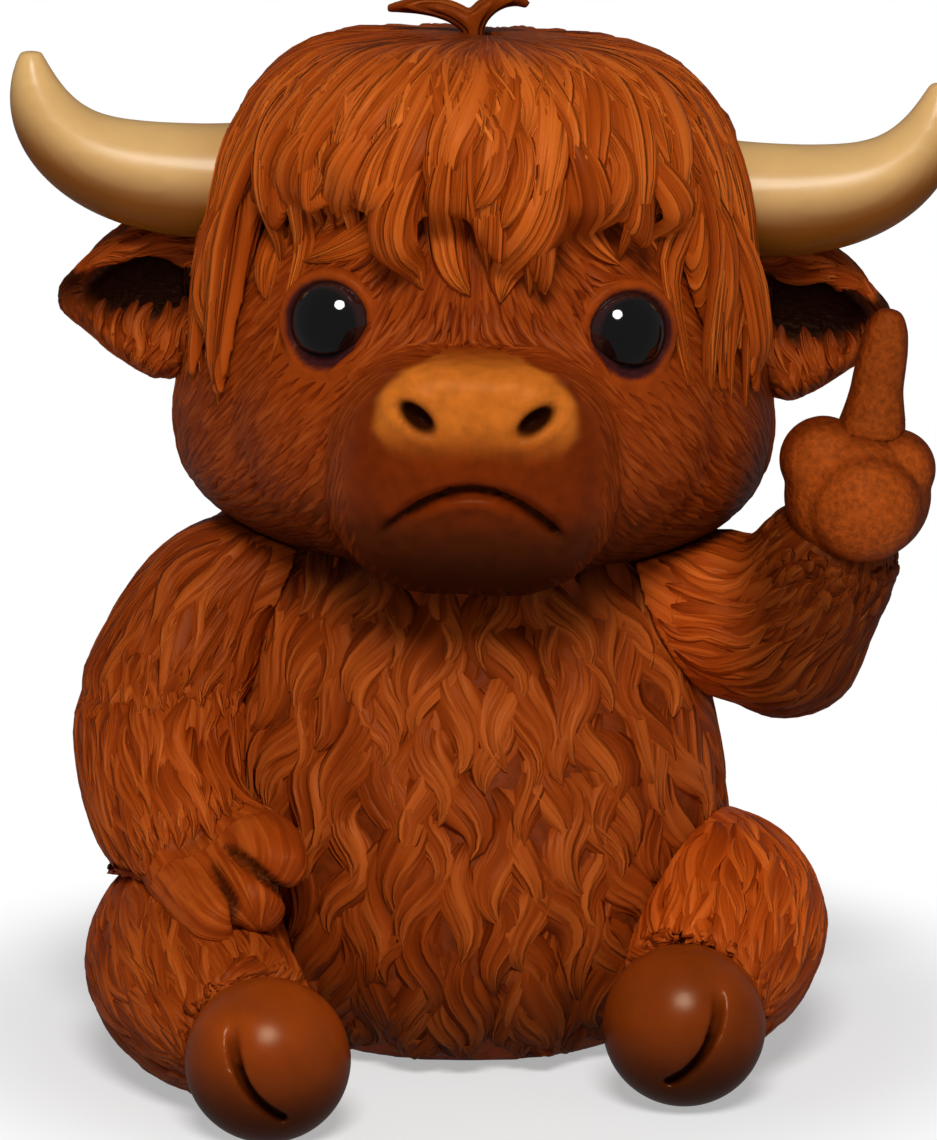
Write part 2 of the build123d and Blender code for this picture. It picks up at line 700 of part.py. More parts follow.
# Seats of the pins and pegs: each is where its limb leaves the casting that carries it
right = Vector(1, 0, 0)
neck_seat = seat(body, on_body((0, TORSO_SHARES[-1][-1], 0)), (0, 0, 1))
rest_start, rest_next = (on_body(place) for place in REST_ARM_PLACE_SHARES[:2])
rest_arm_seat = seat(body, rest_start, rest_next - rest_start)
raised_start, raised_next = (on_body(place) for place in (RAISED_SHOULDER_SHARES, RAISED_ELBOW_SHARES))
raised_arm_seat = seat(body, raised_start, raised_next - raised_start)
hip_seats = []
hoof_seats = []
hoof_centres = []
for places, shares in (
    (LEFT_LEG_PLACE_SHARES, LEFT_HOOF_SHARES),
    (RIGHT_LEG_PLACE_SHARES, RIGHT_HOOF_SHARES),
):
    hip, knee, ankle = (on_body(place) for place in places)
    centre = hoof_centre(places, shares)
    hip_seats.append(seat(body, hip, knee - hip))
    hoof_seats.append(seat(hoof_form(centre), centre, ankle - centre))
    hoof_centres.append(centre)
horn_seat = seat(plain_head, on_head(HORN_PLACE_SHARES), right)
ear_seat = seat(plain_head, on_head(EAR_PLACE_SHARES), right)
wrist_seat = seat(fist_form(), on_body(FIST_PLACE_SHARES), raised_next - on_body(FIST_PLACE_SHARES))
finger_root, finger_tip = finger_ends()
finger_seat = seat(fist_form(), finger_root, finger_tip - finger_root)
tail_root = on_body(TAIL_PLACE_SHARES[0])
tail_seat = seat(body, (tail_root.X, 0, tail_root.Z), (0, 1, 0))
eye_places = (other_side(EYE_PLACE_SHARES), EYE_PLACE_SHARES)
eye_seats = [front_seat(plain_head, place, EYE_TURN) for place in eye_places]
nose_seat = front_seat(plain_head, NOSTRIL_PLACE_SHARES)

# Body: hollow casting with carved locks and a stepped bottom opening
tail_route = [on_body(place) for place in TAIL_PLACE_SHARES]
tail_form = limb(tail_route, TAIL_RADIUS, TAIL_SHARES, (0, 0, 1))
set_on_body = (resting_arm_form(), raised_arm_form(), left_leg_room, right_leg_room, head_room, tail_form)
with BuildPart() as torso:
    add(body)
    add(body_locks(set_on_body))
    cut_away(torso_cavity())
    cut_away(disc(FELT_RADIUS + GLUE_GAP, FELT_THICKNESS))
    cut_away(closure(GLUE_GAP))
    cut_away(pin(neck_seat, NECK_DOWEL_RADIUS, NECK_DOWEL_LENGTH, PIN_GAP))
    for place in (rest_arm_seat, raised_arm_seat, *hip_seats):
        cut_away(pin(place, LIMB_DOWEL_RADIUS, LIMB_DOWEL_LENGTH, PIN_GAP))
    cut_away(pin(tail_seat, TAIL_PEG_RADIUS, TAIL_PEG_LENGTH, PIN_GAP))
write("torso", torso.part)

with BuildPart() as base_plug:
    add(closure())
write("base_plug", base_plug.part)

with BuildPart() as base_felt:
    add(disc(FELT_RADIUS, FELT_THICKNESS))
write("base_felt", base_felt.part)

# Head: details are cut while it is upright, then it leans and is fitted over the neck
with BuildPart() as upright_head:
    add(plain_head)
    for place in eye_seats:
        add(eyelid().moved(place.location))
        cut_away(eye_bead(PIN_GAP).moved(place.location))
    pocket = nostril().moved(nose_seat.location)
    cut_away(pocket, mirrored(pocket))
    cut_away(mouth_groove())
    for place, radius, length in (
        (horn_seat, HORN_PIN_RADIUS, HORN_PIN_LENGTH),
        (ear_seat, EAR_PEG_RADIUS, EAR_PEG_LENGTH),
    ):
        hole = pin(place, radius, length, PIN_GAP)
        cut_away(hole, mirrored(hole))
with BuildPart() as head:
    add(upright_head.part.moved(LEAN))
    cut_away(body_room)
    cut_away(pin(neck_seat, NECK_DOWEL_RADIUS, NECK_DOWEL_LENGTH, PIN_GAP))
write("head", head.part)

for name, place in zip(("left_eye", "right_eye"), eye_seats):
    with BuildPart() as eye:
        add(eye_bead().moved(place.location))
    write(name, eye.part.moved(LEAN))

# Forelock: cap and locks over the skull, open for the horns and the peg of the curls
with BuildPart() as forelock:
    add(hair_cap())
    add([hair_lock(plain_head, direction, fall) for direction, fall in LOCK_FALLS])
    cut_away(plain_head_room, right_horn_room, mirrored(right_horn_room))
    cut_away(curl_peg(PIN_GAP))
write("forelock", forelock.part.moved(LEAN))

with BuildPart() as crown_tuft:
    for long_share, high_share in CURL_SIZE_SHARES:
        add(curl(long_share * CURL_LENGTH, high_share * CURL_RISE))
    cut_away(hair_cap())
    add(curl_peg())
write("crown_tuft", crown_tuft.part.moved(LEAN))

# Horns and ears: the right one of each, then its mirror image
with BuildPart() as horn:
    add(horn_form())
    cut_away(plain_head_room)
    cut_away(pin(horn_seat, HORN_PIN_RADIUS, HORN_PIN_LENGTH, PIN_GAP))
write("right_horn", horn.part.moved(LEAN))
write("left_horn", mirrored(horn.part).moved(LEAN))

with BuildPart() as ear:
    add(ear_leaf(0, 0))
    cut_away(ear_leaf(EAR_WALL, EAR_CUP))
    cut_away(plain_head_room, right_horn_room)
    add(pin(ear_seat, EAR_PEG_RADIUS, EAR_PEG_LENGTH))
write("right_ear", ear.part.moved(LEAN))
write("left_ear", mirrored(ear.part).moved(LEAN))

# Arms
with BuildPart() as resting_arm:
    add(resting_arm_form())
    cut_away(body_room, head_room, left_leg_room)
    cut_away(pin(rest_arm_seat, LIMB_DOWEL_RADIUS, LIMB_DOWEL_LENGTH, PIN_GAP))
write("resting_arm", resting_arm.part)

with BuildPart() as raised_arm:
    add(raised_arm_form())
    cut_away(body_room, head_room, fist_room)
    cut_away(pin(raised_arm_seat, LIMB_DOWEL_RADIUS, LIMB_DOWEL_LENGTH, PIN_GAP))
    cut_away(pin(wrist_seat, HAND_PIN_RADIUS, HAND_PIN_LENGTH, PIN_GAP))
write("raised_arm", raised_arm.part)

with BuildPart() as raised_hand:
    add(fist_form())
    cut_away(pin(wrist_seat, HAND_PIN_RADIUS, HAND_PIN_LENGTH, PIN_GAP))
    cut_away(pin(finger_seat, FINGER_PIN_RADIUS, FINGER_PIN_LENGTH, PIN_GAP))
write("raised_hand", raised_hand.part)

with BuildPart() as raised_finger:
    add(limb([finger_root, finger_tip], FINGER_RADIUS, FINGER_SHARES, (0, 1, 0)))
    cut_away(fist_room)
    cut_away(pin(finger_seat, FINGER_PIN_RADIUS, FINGER_PIN_LENGTH, PIN_GAP))
write("raised_finger", raised_finger.part)

# Legs and hooves
for name, places, centre, hip_seat, hoof_seat in (
    ("left", LEFT_LEG_PLACE_SHARES, hoof_centres[0], hip_seats[0], hoof_seats[0]),
    ("right", RIGHT_LEG_PLACE_SHARES, hoof_centres[1], hip_seats[1], hoof_seats[1]),
):
    hoof_hole = pin(hoof_seat, HOOF_PIN_RADIUS, HOOF_PIN_LENGTH, PIN_GAP)
    with BuildPart() as leg:
        add(leg_form(places))
        cut_away(body_room, hoof_form(centre, GLUE_GAP), hoof_hole)
        cut_away(pin(hip_seat, LIMB_DOWEL_RADIUS, LIMB_DOWEL_LENGTH, PIN_GAP))
    write(f"{name}_leg", leg.part)
    with BuildPart() as hoof:
        add(hoof_form(centre))
        cut_away(cleft(centre, 1 if name == "left" else -1), hoof_hole)
    write(f"{name}_hoof", hoof.part)

# Tail with its peg
with BuildPart() as tail:
    add(above_floor(tail_form))
    cut_away(body_room, right_leg_room)
    add(pin(tail_seat, TAIL_PEG_RADIUS, TAIL_PEG_LENGTH))
write("tail", tail.part)

# Pins
with BuildPart() as neck_dowel:
    add(pin(neck_seat, NECK_DOWEL_RADIUS, NECK_DOWEL_LENGTH))
write("neck_dowel", neck_dowel.part)

horn_pin = pin(horn_seat, HORN_PIN_RADIUS, HORN_PIN_LENGTH)
with BuildPart() as horn_pins:
    add([horn_pin.moved(LEAN), mirrored(horn_pin).moved(LEAN)])
write("horn_pins", horn_pins.part)

for name, seats, radius, length in (
    ("arm_dowels", (rest_arm_seat, raised_arm_seat), LIMB_DOWEL_RADIUS, LIMB_DOWEL_LENGTH),
    ("leg_dowels", hip_seats, LIMB_DOWEL_RADIUS, LIMB_DOWEL_LENGTH),
    ("hoof_pins", hoof_seats, HOOF_PIN_RADIUS, HOOF_PIN_LENGTH),
    ("hand_pin", (wrist_seat,), HAND_PIN_RADIUS, HAND_PIN_LENGTH),
    ("finger_pin", (finger_seat,), FINGER_PIN_RADIUS, FINGER_PIN_LENGTH),
):
    with BuildPart() as pins:
        for place in seats:
            add(pin(place, radius, length))
    write(name, pins.part)
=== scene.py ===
"""Seated highland calf ornament: carved fur, painted finish and studio stage over the CAD assembly."""

import json
import math

import bpy
import numpy as np
from bpy.props import FloatProperty, FloatVectorProperty, PointerProperty
from mathutils import Matrix, Vector
from mathutils.bvhtree import BVHTree

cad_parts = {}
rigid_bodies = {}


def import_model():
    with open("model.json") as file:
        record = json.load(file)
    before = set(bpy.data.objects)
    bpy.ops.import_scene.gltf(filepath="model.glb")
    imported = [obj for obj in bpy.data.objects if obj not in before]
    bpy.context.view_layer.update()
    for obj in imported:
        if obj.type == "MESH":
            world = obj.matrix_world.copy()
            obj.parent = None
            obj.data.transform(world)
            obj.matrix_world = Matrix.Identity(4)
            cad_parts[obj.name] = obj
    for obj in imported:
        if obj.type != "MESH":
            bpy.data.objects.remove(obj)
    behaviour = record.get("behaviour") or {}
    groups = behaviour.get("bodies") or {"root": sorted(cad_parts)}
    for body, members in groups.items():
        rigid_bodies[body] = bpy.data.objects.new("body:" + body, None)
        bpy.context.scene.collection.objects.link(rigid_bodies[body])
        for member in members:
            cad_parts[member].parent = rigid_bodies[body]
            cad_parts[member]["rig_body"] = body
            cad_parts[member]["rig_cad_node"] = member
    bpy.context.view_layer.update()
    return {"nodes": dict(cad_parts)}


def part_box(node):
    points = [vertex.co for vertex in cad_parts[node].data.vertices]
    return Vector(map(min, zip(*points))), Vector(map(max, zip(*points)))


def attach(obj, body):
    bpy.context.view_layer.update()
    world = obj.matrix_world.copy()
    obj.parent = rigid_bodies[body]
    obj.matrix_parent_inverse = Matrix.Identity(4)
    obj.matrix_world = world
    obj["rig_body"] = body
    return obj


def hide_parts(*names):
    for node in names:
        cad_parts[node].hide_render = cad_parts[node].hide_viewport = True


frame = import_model()

bl_info = {
    "name": "Highland Calf Ornament",
    "version": (1, 0, 0),
    "blender": (4, 5, 0),
    "location": "View3D > Sidebar > Calf",
    "description": "Carves the fur, paints the castings and sets up the stage of a seated calf ornament",
    "category": "Add Mesh",
}

# Units: the carving is worked out in millimetres and turned into metres when a mesh is made
MM = 0.001

# A gap that is beyond every feature of the face
FAR = 99.0

# Head: the whole head group leans about the neck, viewer's right side lower
NECK = Vector((0.0, 0.0, 47.0))
LEAN = Matrix.Translation(NECK) @ Matrix.Rotation(math.radians(2.0), 4, "Y") @ Matrix.Translation(-NECK)

# Eyes: turn to the side, depth that belongs to the face, swell of the beads and edge of the dark ring
EYE_TURN = math.radians(20.0)
EYE_DEPTH, EYE_SWELL, IRIS_EDGE = 7.0, 0.6, (3.3, 3.7)

# Nostrils: place, slant and half sizes
NOSTRIL_PLACE, NOSTRIL_SLANT, NOSTRIL_HALVES = (5.5, 68.1), math.radians(38.0), (2.3, 1.25)

# Mouth: level of its middle, half width, droop at the corners and where it fades out beyond them
MOUTH_LEVEL, MOUTH_HALF, MOUTH_DROOP, MOUTH_FADE = 61.2, 8.0, 4.2, (1.4, -0.4)

# Muzzle: front, squareness and edge, then half width, middle and half height of paint and bare skin
MUZZLE_FRONT, MUZZLE_SQUARENESS, MUZZLE_EDGE = (-13.0, -18.0), 2.6, (1.06, 0.88)
MUZZLE_PAINT, MUZZLE_BARE, BARE_DEPTH = (12.3, 62.5, 11.0), (12.0, 62.0, 11.2), -14.0

# Nose pad: half widths at some heights, and where it fades at the sides, below and above
NOSE_LEVELS, NOSE_HALVES = (61.0, 63.0, 66.5, 69.5, 72.0, 73.4), (5.0, 7.0, 9.8, 9.4, 7.2, 3.0)
NOSE_SIDES, NOSE_BELOW, NOSE_ABOVE, NOSE_RISE = (-0.4, 1.0), (63.6, 68.4), (73.4, 72.4), 0.22

# Face carving: height, middle and spread of the mouth line, lips, nostril rims and lid rims
MOUTH_LINE, UPPER_LIP, LOWER_LIP = (-0.75, 0, 0.36), (0.25, 1.0, 0.6), (0.45, -1.3, 0.8)
LOWER_LIP_ENDS, NOSTRIL_RIM, LID_RIM = (7.0, 2.5), (0.3, 1.5, 0.35), (0.25, 4.7, 0.45)

# Face softening: turns and reach round the mouth; turns, half width and gap to the lids on the rest
MOUTH_TURNS, MOUTH_REACH, MOUTH_SHARE = 60, 2.2, 0.35
SEAM_TURNS, SEAM_HALVES, SEAM_LID_GAP = 14, (13.5, 12.5), 6.5

# Face paint: where the painted shade under the chin and on the throat, the nostrils, lids and sockets begin
# and end, and how dark they are
CHIN_LEVELS, CHIN_SHADE_COVER, THROAT_LEVELS, THROAT_SHADE = (60.5, 55.0), 0.85, (56.0, 50.0), 0.25
NOSTRIL_EDGE, LID_EDGE, SOCKET_EDGE, LINE_SHADE = (1.15, 0.75), (4.5, 4.0), (3.5, 3.2), 0.5

# Cheek hair: back, top, bottom and gap to the lids; spacing, sizes, relief, lift, sway and the throat's shade
CHEEK_BACK, CHEEK_TOP, CHEEK_BOTTOM, CHEEK_LID_GAP = 3.0, 90.0, 48.5, 5.3
CHEEK_SPACING, CHEEK_SIZES, CHEEK_RELIEF, CHEEK_LIFT, CHEEK_SWAY = 0.95, (0.7, 1.4), 0.14, 0.04, 0.3
CHEEK_DARK, CHEEK_LEVELS, CHEEK_SPREAD, CHEEK_WAY, CHEEK_STEPS = 0.15, (50.0, 60.0), 0.05, (0.35, -0.8), 4

# Mane: bottom and top, spacing, sizes, length, width, relief, lift and sways of the locks
MANE_BOTTOM, MANE_TOP, MANE_SPACING, MANE_SIZES, MANE_WAY = 49.0, 92.0, 2.4, (0.8, 1.2), (0, 0.2, -1)
MANE_LENGTH, MANE_WIDTH, MANE_RELIEF, MANE_LIFT = 11.0, 3.8, 0.6, 0.25
MANE_SWAYS, MANE_PHASE, MANE_STEPS = (0.3, 0.6), 0.5, 8

# Hair dome: level and forward shift of its centre, then height, width, depth and squareness
HAIR_LEVEL, HAIR_FORWARD = 73.8, 0.96
HAIR_HEIGHT, HAIR_WIDTH, HAIR_DEPTH, HAIR_SQUARENESS = 27.1, 50.7, 46.6, 3.0

# Fringe locks that stand out: width, then the places across and up from the root to the tip
FRINGE_LOCKS = (
    (5.0, (-2.9, 96.2), (-7.1, 87.7), (-7.6, 82.5), (-5.2, 78.4)),
    (4.6, (-1.3, 96.2), (-2.6, 87.7), (-2.4, 81.8), (0.3, 77.9)),
    (5.6, (7.1, 96.2), (8.4, 89.0), (5.5, 82.5), (3.6, 77.2)),
    (5.4, (9.7, 96.2), (12.0, 89.0), (13.3, 83.8), (16.6, 80.2)),
    (5.2, (-5.2, 93.6), (-8.4, 87.1), (-12.3, 83.1), (-18.9, 80.2)),
    (5.4, (-9.0, 97.8), (-12.3, 92.0), (-14.6, 87.7), (-17.6, 83.1)),
    (5.0, (-14.5, 97.1), (-18.1, 90.6), (-19.0, 85.8), (-18.9, 81.8)),
    (4.4, (-19.2, 93.7), (-21.6, 86.1), (-22.2, 80.7), (-21.4, 76.3)),
    (4.6, (-21.6, 92.1), (-24.0, 83.4), (-24.7, 76.3), (-23.8, 69.9)),
    (4.4, (19.9, 92.1), (22.6, 83.4), (23.4, 76.3), (23.8, 70.2)),
    (4.6, (21.6, 91.4), (24.0, 81.4), (24.7, 72.9), (25.6, 66.8)),
    (5.0, (15.2, 95.2), (19.2, 88.4), (20.5, 83.8), (20.8, 79.8)),
    (3.6, (1.6, 96.2), (3.3, 92.3), (2.3, 89.0), (0.7, 86.7)),
    (4.4, (-5.8, 97.1), (-9.4, 90.6), (-10.1, 87.7), (-12.3, 85.1)),
    (4.0, (3.9, 96.8), (5.8, 92.0), (4.9, 87.7), (3.3, 84.8)),
    (4.6, (12.9, 96.2), (15.2, 90.6), (14.6, 85.8), (14.7, 81.8)),
)

# Fringe: radius it turns on, start of the search for the surface, lift, sine of the widest turn, columns
HAIR_RADIUS, FRINGE_INSIDE, FRINGE_LIFT, WIDEST_SINE, FRINGE_COLUMNS = 25.6, 24.0, 0.3, 0.98, 13

# Hair casting's paint: streaks round it, fall of one length, ridges with their middle and wave, tone
CAP_STREAKS, CAP_FALL, CAP_RIDGES, CAP_RIDGE, CAP_RIDGE_WAVE, CAP_TONE = 9, 1.6, 70, 0.45, 0.2, 0.4

# Crown curls: shift to the left, then streaks, length of a streak, tone, ridge with its slope that paints the
# top lighter as painted light, and painted shade
TUFT_SHIFT = 1.4
TUFT_STREAKS, TUFT_LENGTH, TUFT_TONE, TUFT_RIDGE, TUFT_SLOPE, TUFT_SHADE = 0.4, 9, 0.2, 0.3, 0.5, 0.6

# Strands: steps, search height and depth, steepness, lift, waves, grooves to a millimetre, columns
STRAND_STEPS, SEARCH_HEIGHT, SEARCH_DEPTH, CROWN_STEEPNESS = 17, 12.0, 30.0, 0.6
STRAND_LIFT, STRAND_WAVES, STRAND_GROOVES, STRAND_COLUMNS = 0.2, 0.9, 0.8, 11

# Locks of the hair casting: turn about the vertical and fall from the crown, in degrees
LOCK_FALLS = (
    (-76, 98), (-64, 100), (-52, 80), (-41, 76), (-29, 72), (-17, 83), (-6, 74), (4, 82), (14, 86), (26, 74),
    (38, 80), (50, 76), (62, 96), (75, 98), (112, 88), (129, 84), (146, 88), (163, 84), (180, 88), (197, 84),
    (214, 88), (231, 84), (248, 88),
)

# Strands on the locks of the casting: fall where they begin, share of width and relief, sway
LOCK_START, LOCK_BREADTH, LOCK_RELIEF, LOCK_SWAY = 12, 1.1, 0.6, math.radians(4)

# Hair layers: count, share of the width and fall where strands begin; then shuffle, falls, reliefs and sways
HAIR_LAYERS = ((48, 1.0, 2), (52, 0.7, 5), (60, 0.45, 8))
LAYER_SHUFFLE, LAYER_START, LAYER_FALL, LAYER_SIDE_FALL, LAYER_STEP, LAYER_SPREAD = 0.3, 6, 76, 20, 4, 18
LAYER_BREADTHS, LAYER_RELIEFS, LAYER_SWAYS, LAYER_PHASE = (0.8, 1.2), (0.4, 0.6), (0.06, 0.16), 0.6

# Temples: first and last turn from the front and the step, then fall, widths, sways and relief of the strands
TEMPLE_FIRST, TEMPLE_LAST, TEMPLE_STEP, TEMPLE_STARTS = 50, 86, 3, (30, 45)
TEMPLE_FALL, TEMPLE_BACK_FALL, TEMPLE_SPREAD = 90, 8, (-8, 4)
TEMPLE_WIDTHS, TEMPLE_SWAYS, TEMPLE_RELIEF = (2.2, 3.4), (0.02, 0.06), 0.5

# Ears: level that the lower lobe is drawn up to, how far, and where along the ear that begins and ends
LOBE_LEVEL, LOBE_LIFT, LOBE_REACH = 76.0, 0.32, (29.0, 40.0)

# Ear cup: middle and half sizes of the dark paint and of the part without hair, edges and shades
CUP_PAINT, CUP_BARE, EAR_ROOT = ((31.5, 74.2), (8.5, 3.6)), ((31.5, 75.2), (7.5, 2.6)), 23.0
CUP_EDGE, CUP_FACING, CUP_SHADE, EAR_SHADE = (1.35, 0.75), (0.1, -0.4), 0.4, 0.75

# Ear hair: levels where it turns from hanging to lying, spacing and size of a lock, then shade of the rim
EAR_TURN, EAR_HANG, EAR_FORWARD, EAR_SPACING = (73.0, 76.0), 0.35, 0.2, 1.4
EAR_SIZES, EAR_SWAY, EAR_STEPS = (0.7, 1.2), 0.5, 8
EAR_LENGTH, EAR_WIDTH, EAR_RELIEF, EAR_LIFT, EAR_OVERHEAD = 7.0, 2.3, 0.45, 0.2, 1.0
RIM_LEVEL, RIM_DEPTH, RIM_LEVELS, RIM_DARK, RIM_LIGHT, EAR_LIGHT = 75.5, 4.5, (74.5, 69.0), 0.1, 0.8, 0.85

# Horns: slope where the painted shade on the underside begins and ends, where the painted shade at the root
# does, and its cover
HORN_UNDER_SHADE, HORN_ROOT, HORN_ROOT_COVER = (0.4, -0.45), (30.0, 22.0), 0.3

# Hooves: level and turns of the softer upper part, painted shade on the lower part and its cover, and depths
# of the cleft that is painted darker as painted shade
HOOF_UPPER, HOOF_TURNS, HOOF_LOWER, HOOF_COVER = 8.5, 30, (13.0, 2.5), 0.92
CLEFT_DEPTHS, CLEFT_TURNS, CLEFT_SHADE, HOOF_SHADES = (0.05, 0.3), 12, 0.1, (1.0, 0.8)

# Body fur: rows of locks from the seat to the neck, how far they are shuffled, and how they lie
FUR_ROWS, FUR_FIRST_ROW, FUR_ROW_STEP, FUR_LOCKS_ROUND = 11, 5.0, 4.9, 34
FUR_SHUFFLE_ROUND, FUR_SHUFFLE_UP = 0.2, 1.2
FUR_STEPS, FUR_LIFT, FUR_SHORTEST, FUR_FLOOR_GAP = 11, 0.35, 4.0, 0.5
FUR_SIZES, FUR_SWAYS, FUR_PHASE, FUR_SPREAD, FUR_BURIED = (0.85, 1.15), (0.5, 0.95), 0.5, 0.014, 1.0

# A distance that is outside the body all round
OUTSIDE = 60.0

# Body's painted shade: heights of the chin's painted shadow and of the seat's painted shade, depths where the
# front begins, darkest shares
CHIN_SHADE, SEAT_SHADE, FRONT_SHADE, CHIN_SHADOW_DARK, SEAT_DARK = (51.0, 42.0), (1.0, 18.0), (2.0, -8.0), 0.1, 0.3

# Limbs: middle lines from the body to the end
RESTING_ARM = (
    (-15.0, 2.0, 47.5),
    (-25.5, 0.0, 42.0),
    (-29.8, -3.5, 32.5),
    (-29.2, -9.5, 25.5),
    (-24.0, -19.0, 20.0),
    (-20.0, -28.0, 17.0),
)
RAISED_ARM = (
    (13.0, 2.0, 47.5),
    (22.0, -1.0, 42.0),
    (31.2, -4.0, 41.0),
    (35.5, -7.0, 47.5),
    (37.6, -9.4, 54.0),
)
LEFT_LEG = ((-18.0, 4.0, 13.0), (-27.0, -10.0, 12.0), (-22.5, -25.0, 9.5), (-19.0, -38.0, 7.5))
RIGHT_LEG = ((18.0, 4.0, 14.0), (24.8, -8.0, 13.4), (22.5, -18.0, 10.5), (20.7, -30.0, 8.0))
TAIL = ((1.0, 19.8, 13.0), (9.5, 22.0, 7.0), (17.6, 18.4, 4.9), (24.0, 13.0, 4.6))

# Limbs: whorl that the hair turns away from, its pull, and the share of the line where the hair gets finer
LIMBS = (
    ("resting_arm", RESTING_ARM, (-24.0, -2.0, 50.0), 0.5, 0.55),
    ("raised_arm", RAISED_ARM, (20.0, -3.0, 50.0), 0.2, 0.9),
    ("left_leg", LEFT_LEG, (-26.0, -6.0, 25.0), 0.9, 0.75),
    ("right_leg", RIGHT_LEG, (25.0, -8.0, 27.0), 0.9, 0.75),
    ("tail", TAIL, (0.0, 22.0, 14.0), 0.0, 0.9),
)
LIMB_NEIGHBOURS = ("torso", "resting_arm", "left_leg", "right_leg", "left_hoof", "right_hoof", "raised_hand")

# Limbs: share of the next stretch's direction that the hair takes on
TURN_AHEAD = 0.5

# Limbs: how far a wrist or an ankle is drawn in, and the share of the line where that happens
TUCKS, TUCK_SHARES = {"raised_arm": 0.3, "left_leg": 0.12, "right_leg": 0.12}, (0.86, 1.0)

# Limb hair: spacing, least height, clearance of roots and tips from neighbours, where it ends, how it lies
HAIR_SPACING, HAIR_FLOOR, ROOT_CLEARANCE, TIP_CLEARANCE = 1.7, 1.0, 0.5, 0.3
HAIR_END, RESTING_HAIR_END, HAIR_SHORTEST, HAIR_CUT_BACK = 0.97, 0.78, 2.2, 0.45
HAIR_SIZES, HAIR_SWAYS, HAIR_PHASE, HAIR_STEPS, HAIR_LIFT = (0.7, 1.3), (0.2, 0.5), 0.8, 8, 0.12
FINEST_HAIR, FINER_RATE = 0.45, 2.2

# Sleeve of the resting arm: the line where it ends, its folds as height, middle and spread, and its hair
SLEEVE_LEVEL, SLEEVE_SLOPE, SLEEVE_WAVE, SLEEVE_WAVINESS = 34.6, 0.22, 0.8, 0.9
SLEEVE_FOLDS = ((0.45, 2.5, 2.0), (0.5, -3.5, 2.5), (-0.5, 0, 0.8))
SLEEVE_OVERHANG, SLEEVE_STRETCH = (1.5, 3.5), 1.15

# Limb painted light and shade: darkest share, what is added to it and the heights where that begins and ends
LIMB_SHADES = {
    "resting_arm": (0.8, 0.2, (40.0, 32.0)),
    "left_leg": (0.35, 0.55, (1.0, 12.0)),
    "right_leg": (0.4, 1.0, (1.0, 18.0)),
    "tail": (1.0, 0.0, (0.0, 1.0)),
}

# Raised arm's painted light and shade: lightest share, how much darker the front is, and where that begins
# and ends across and deep
RAISED_LIGHT, RAISED_DARKER, RAISED_ACROSS, RAISED_DEEP = 1.3, 0.94, (22.0, 30.0), (4.0, -5.0)

# Skin under the limb hair: streaks and ridges round the limb, tone, and the painted shade that darkens
# creases
SKIN_STREAKS, SKIN_RIDGES, SKIN_RIDGE, SKIN_RIDGE_WAVE, SKIN_TONE = 3, 24, 0.55, 0.15, 0.4
CREASE_TURNS, CREASE_DEPTHS, CREASE_SHADE, RESTING_CREASE_SHADE = 12, (0.03, 0.3), 0.3, 0.8

# Resting hand: root and tip of the digits, how far each is swelled, and the outer digit's radius at both ends
DIGITS = (
    ((-28.5, -20.7, 20.1), (-24.3, -28.1, 18.2)),
    ((-25.2, -17.0, 20.6), (-19.7, -28.0, 19.0)),
    ((-22.4, -16.5, 23.2), (-16.6, -26.6, 22.8)),
)
DIGIT_SWELLS = np.array((0.2, 0.5, -0.5))
OUTER_RADII, OUTER_BALLS = (3.4, 2.8), 6
OUTER_DIGIT = np.linspace((*DIGITS[0][0], OUTER_RADII[0]), (*DIGITS[0][1], OUTER_RADII[1]), OUTER_BALLS)
WRIST_SHARES, WRIST_TURNS, HAND_REACH = (-0.55, 0.42), 90, (7.5, 5.5)
SWELL_PLACE, GROOVE_DEPTH, GROOVE_WIDTH, GROOVE_SHARES = (0.8, 0.35), 0.9, 0.8, (0.2, 0.6)

# Raised finger: height, widening and drop of its flared root
FLARE_HEIGHT, FLARE_WIDENING, FLARE_DROP = 5.0, 0.35, 0.9

# Hand paint: share of the fur's colour, painted light on the front-facing side, share of it on the finger,
# and where the front begins
HAND_SHADE, HAND_PAINTED_LIGHT, FINGER_SHADE, HAND_FACING = 0.6, (1.25, 1.5, 1.9), 0.75, (-0.35, -0.8)

# Random seeds
SEEDS = {"body": 11, "limbs": 21, "head": 31, "hair": 41, "ears": 51}

# Share of the white backdrop that gloss mirrors, low enough to keep the bead eyes black
MIRRORED_SHARE = 0.06

# Stage: floor radius, tone and roughness, rim where the floor turns white, and light of the surroundings
FLOOR_RADIUS, FLOOR_TONE, FLOOR_ROUGHNESS = 1.2, 0.96, 0.9
FLOOR_RIM, FLOOR_WHITE, SURROUNDINGS = (0.04, 0.07), 0.4, 0.08

# Stage: place and size of the key light and the two weak side lights, sensor and clipping of the camera
KEY_PLACE, KEY_SIZE, FILL_PLACE, FILL_SIZE = (0.0, -0.48, 0.5), 0.24, (0.6, -0.35, 0.25), 0.4
SENSOR, CLIPPING = 36.0, (0.01, 20.0)

# Gloss of the fur, of the hooves and of the rest
WARM, HOOF_GLOSS, WHITE = (1.0, 0.55, 0.28, 1.0), (1.0, 0.75, 0.5, 1.0), (1.0, 1.0, 1.0, 1.0)

# Painted fur: streaks along a lock, what the tone is made of, and the stops from recess to ridge: a dark wash
# that is also painted shade, up to dry-brushed ridges that are also painted highlight
STREAK_LENGTH, STREAK_SEED, STREAK_RANGE = 1.1, 91.0, (0.36, 0.64)
RIDGE_WEIGHT, STREAK_WEIGHT, TONE_WEIGHT = 0.55, 0.3, 0.15
FUR_STOPS, FUR_ROUGHNESS, FUR_SPECULAR = (0.08, 0.45, 0.95), 0.42, 0.12
LIMB_TINT, FINE_TINT, FRINGE_TINT = (1.1, 1.05, 0.9), (0.8, 0.72, 0.6), (1.4, 1.5, 1.3)

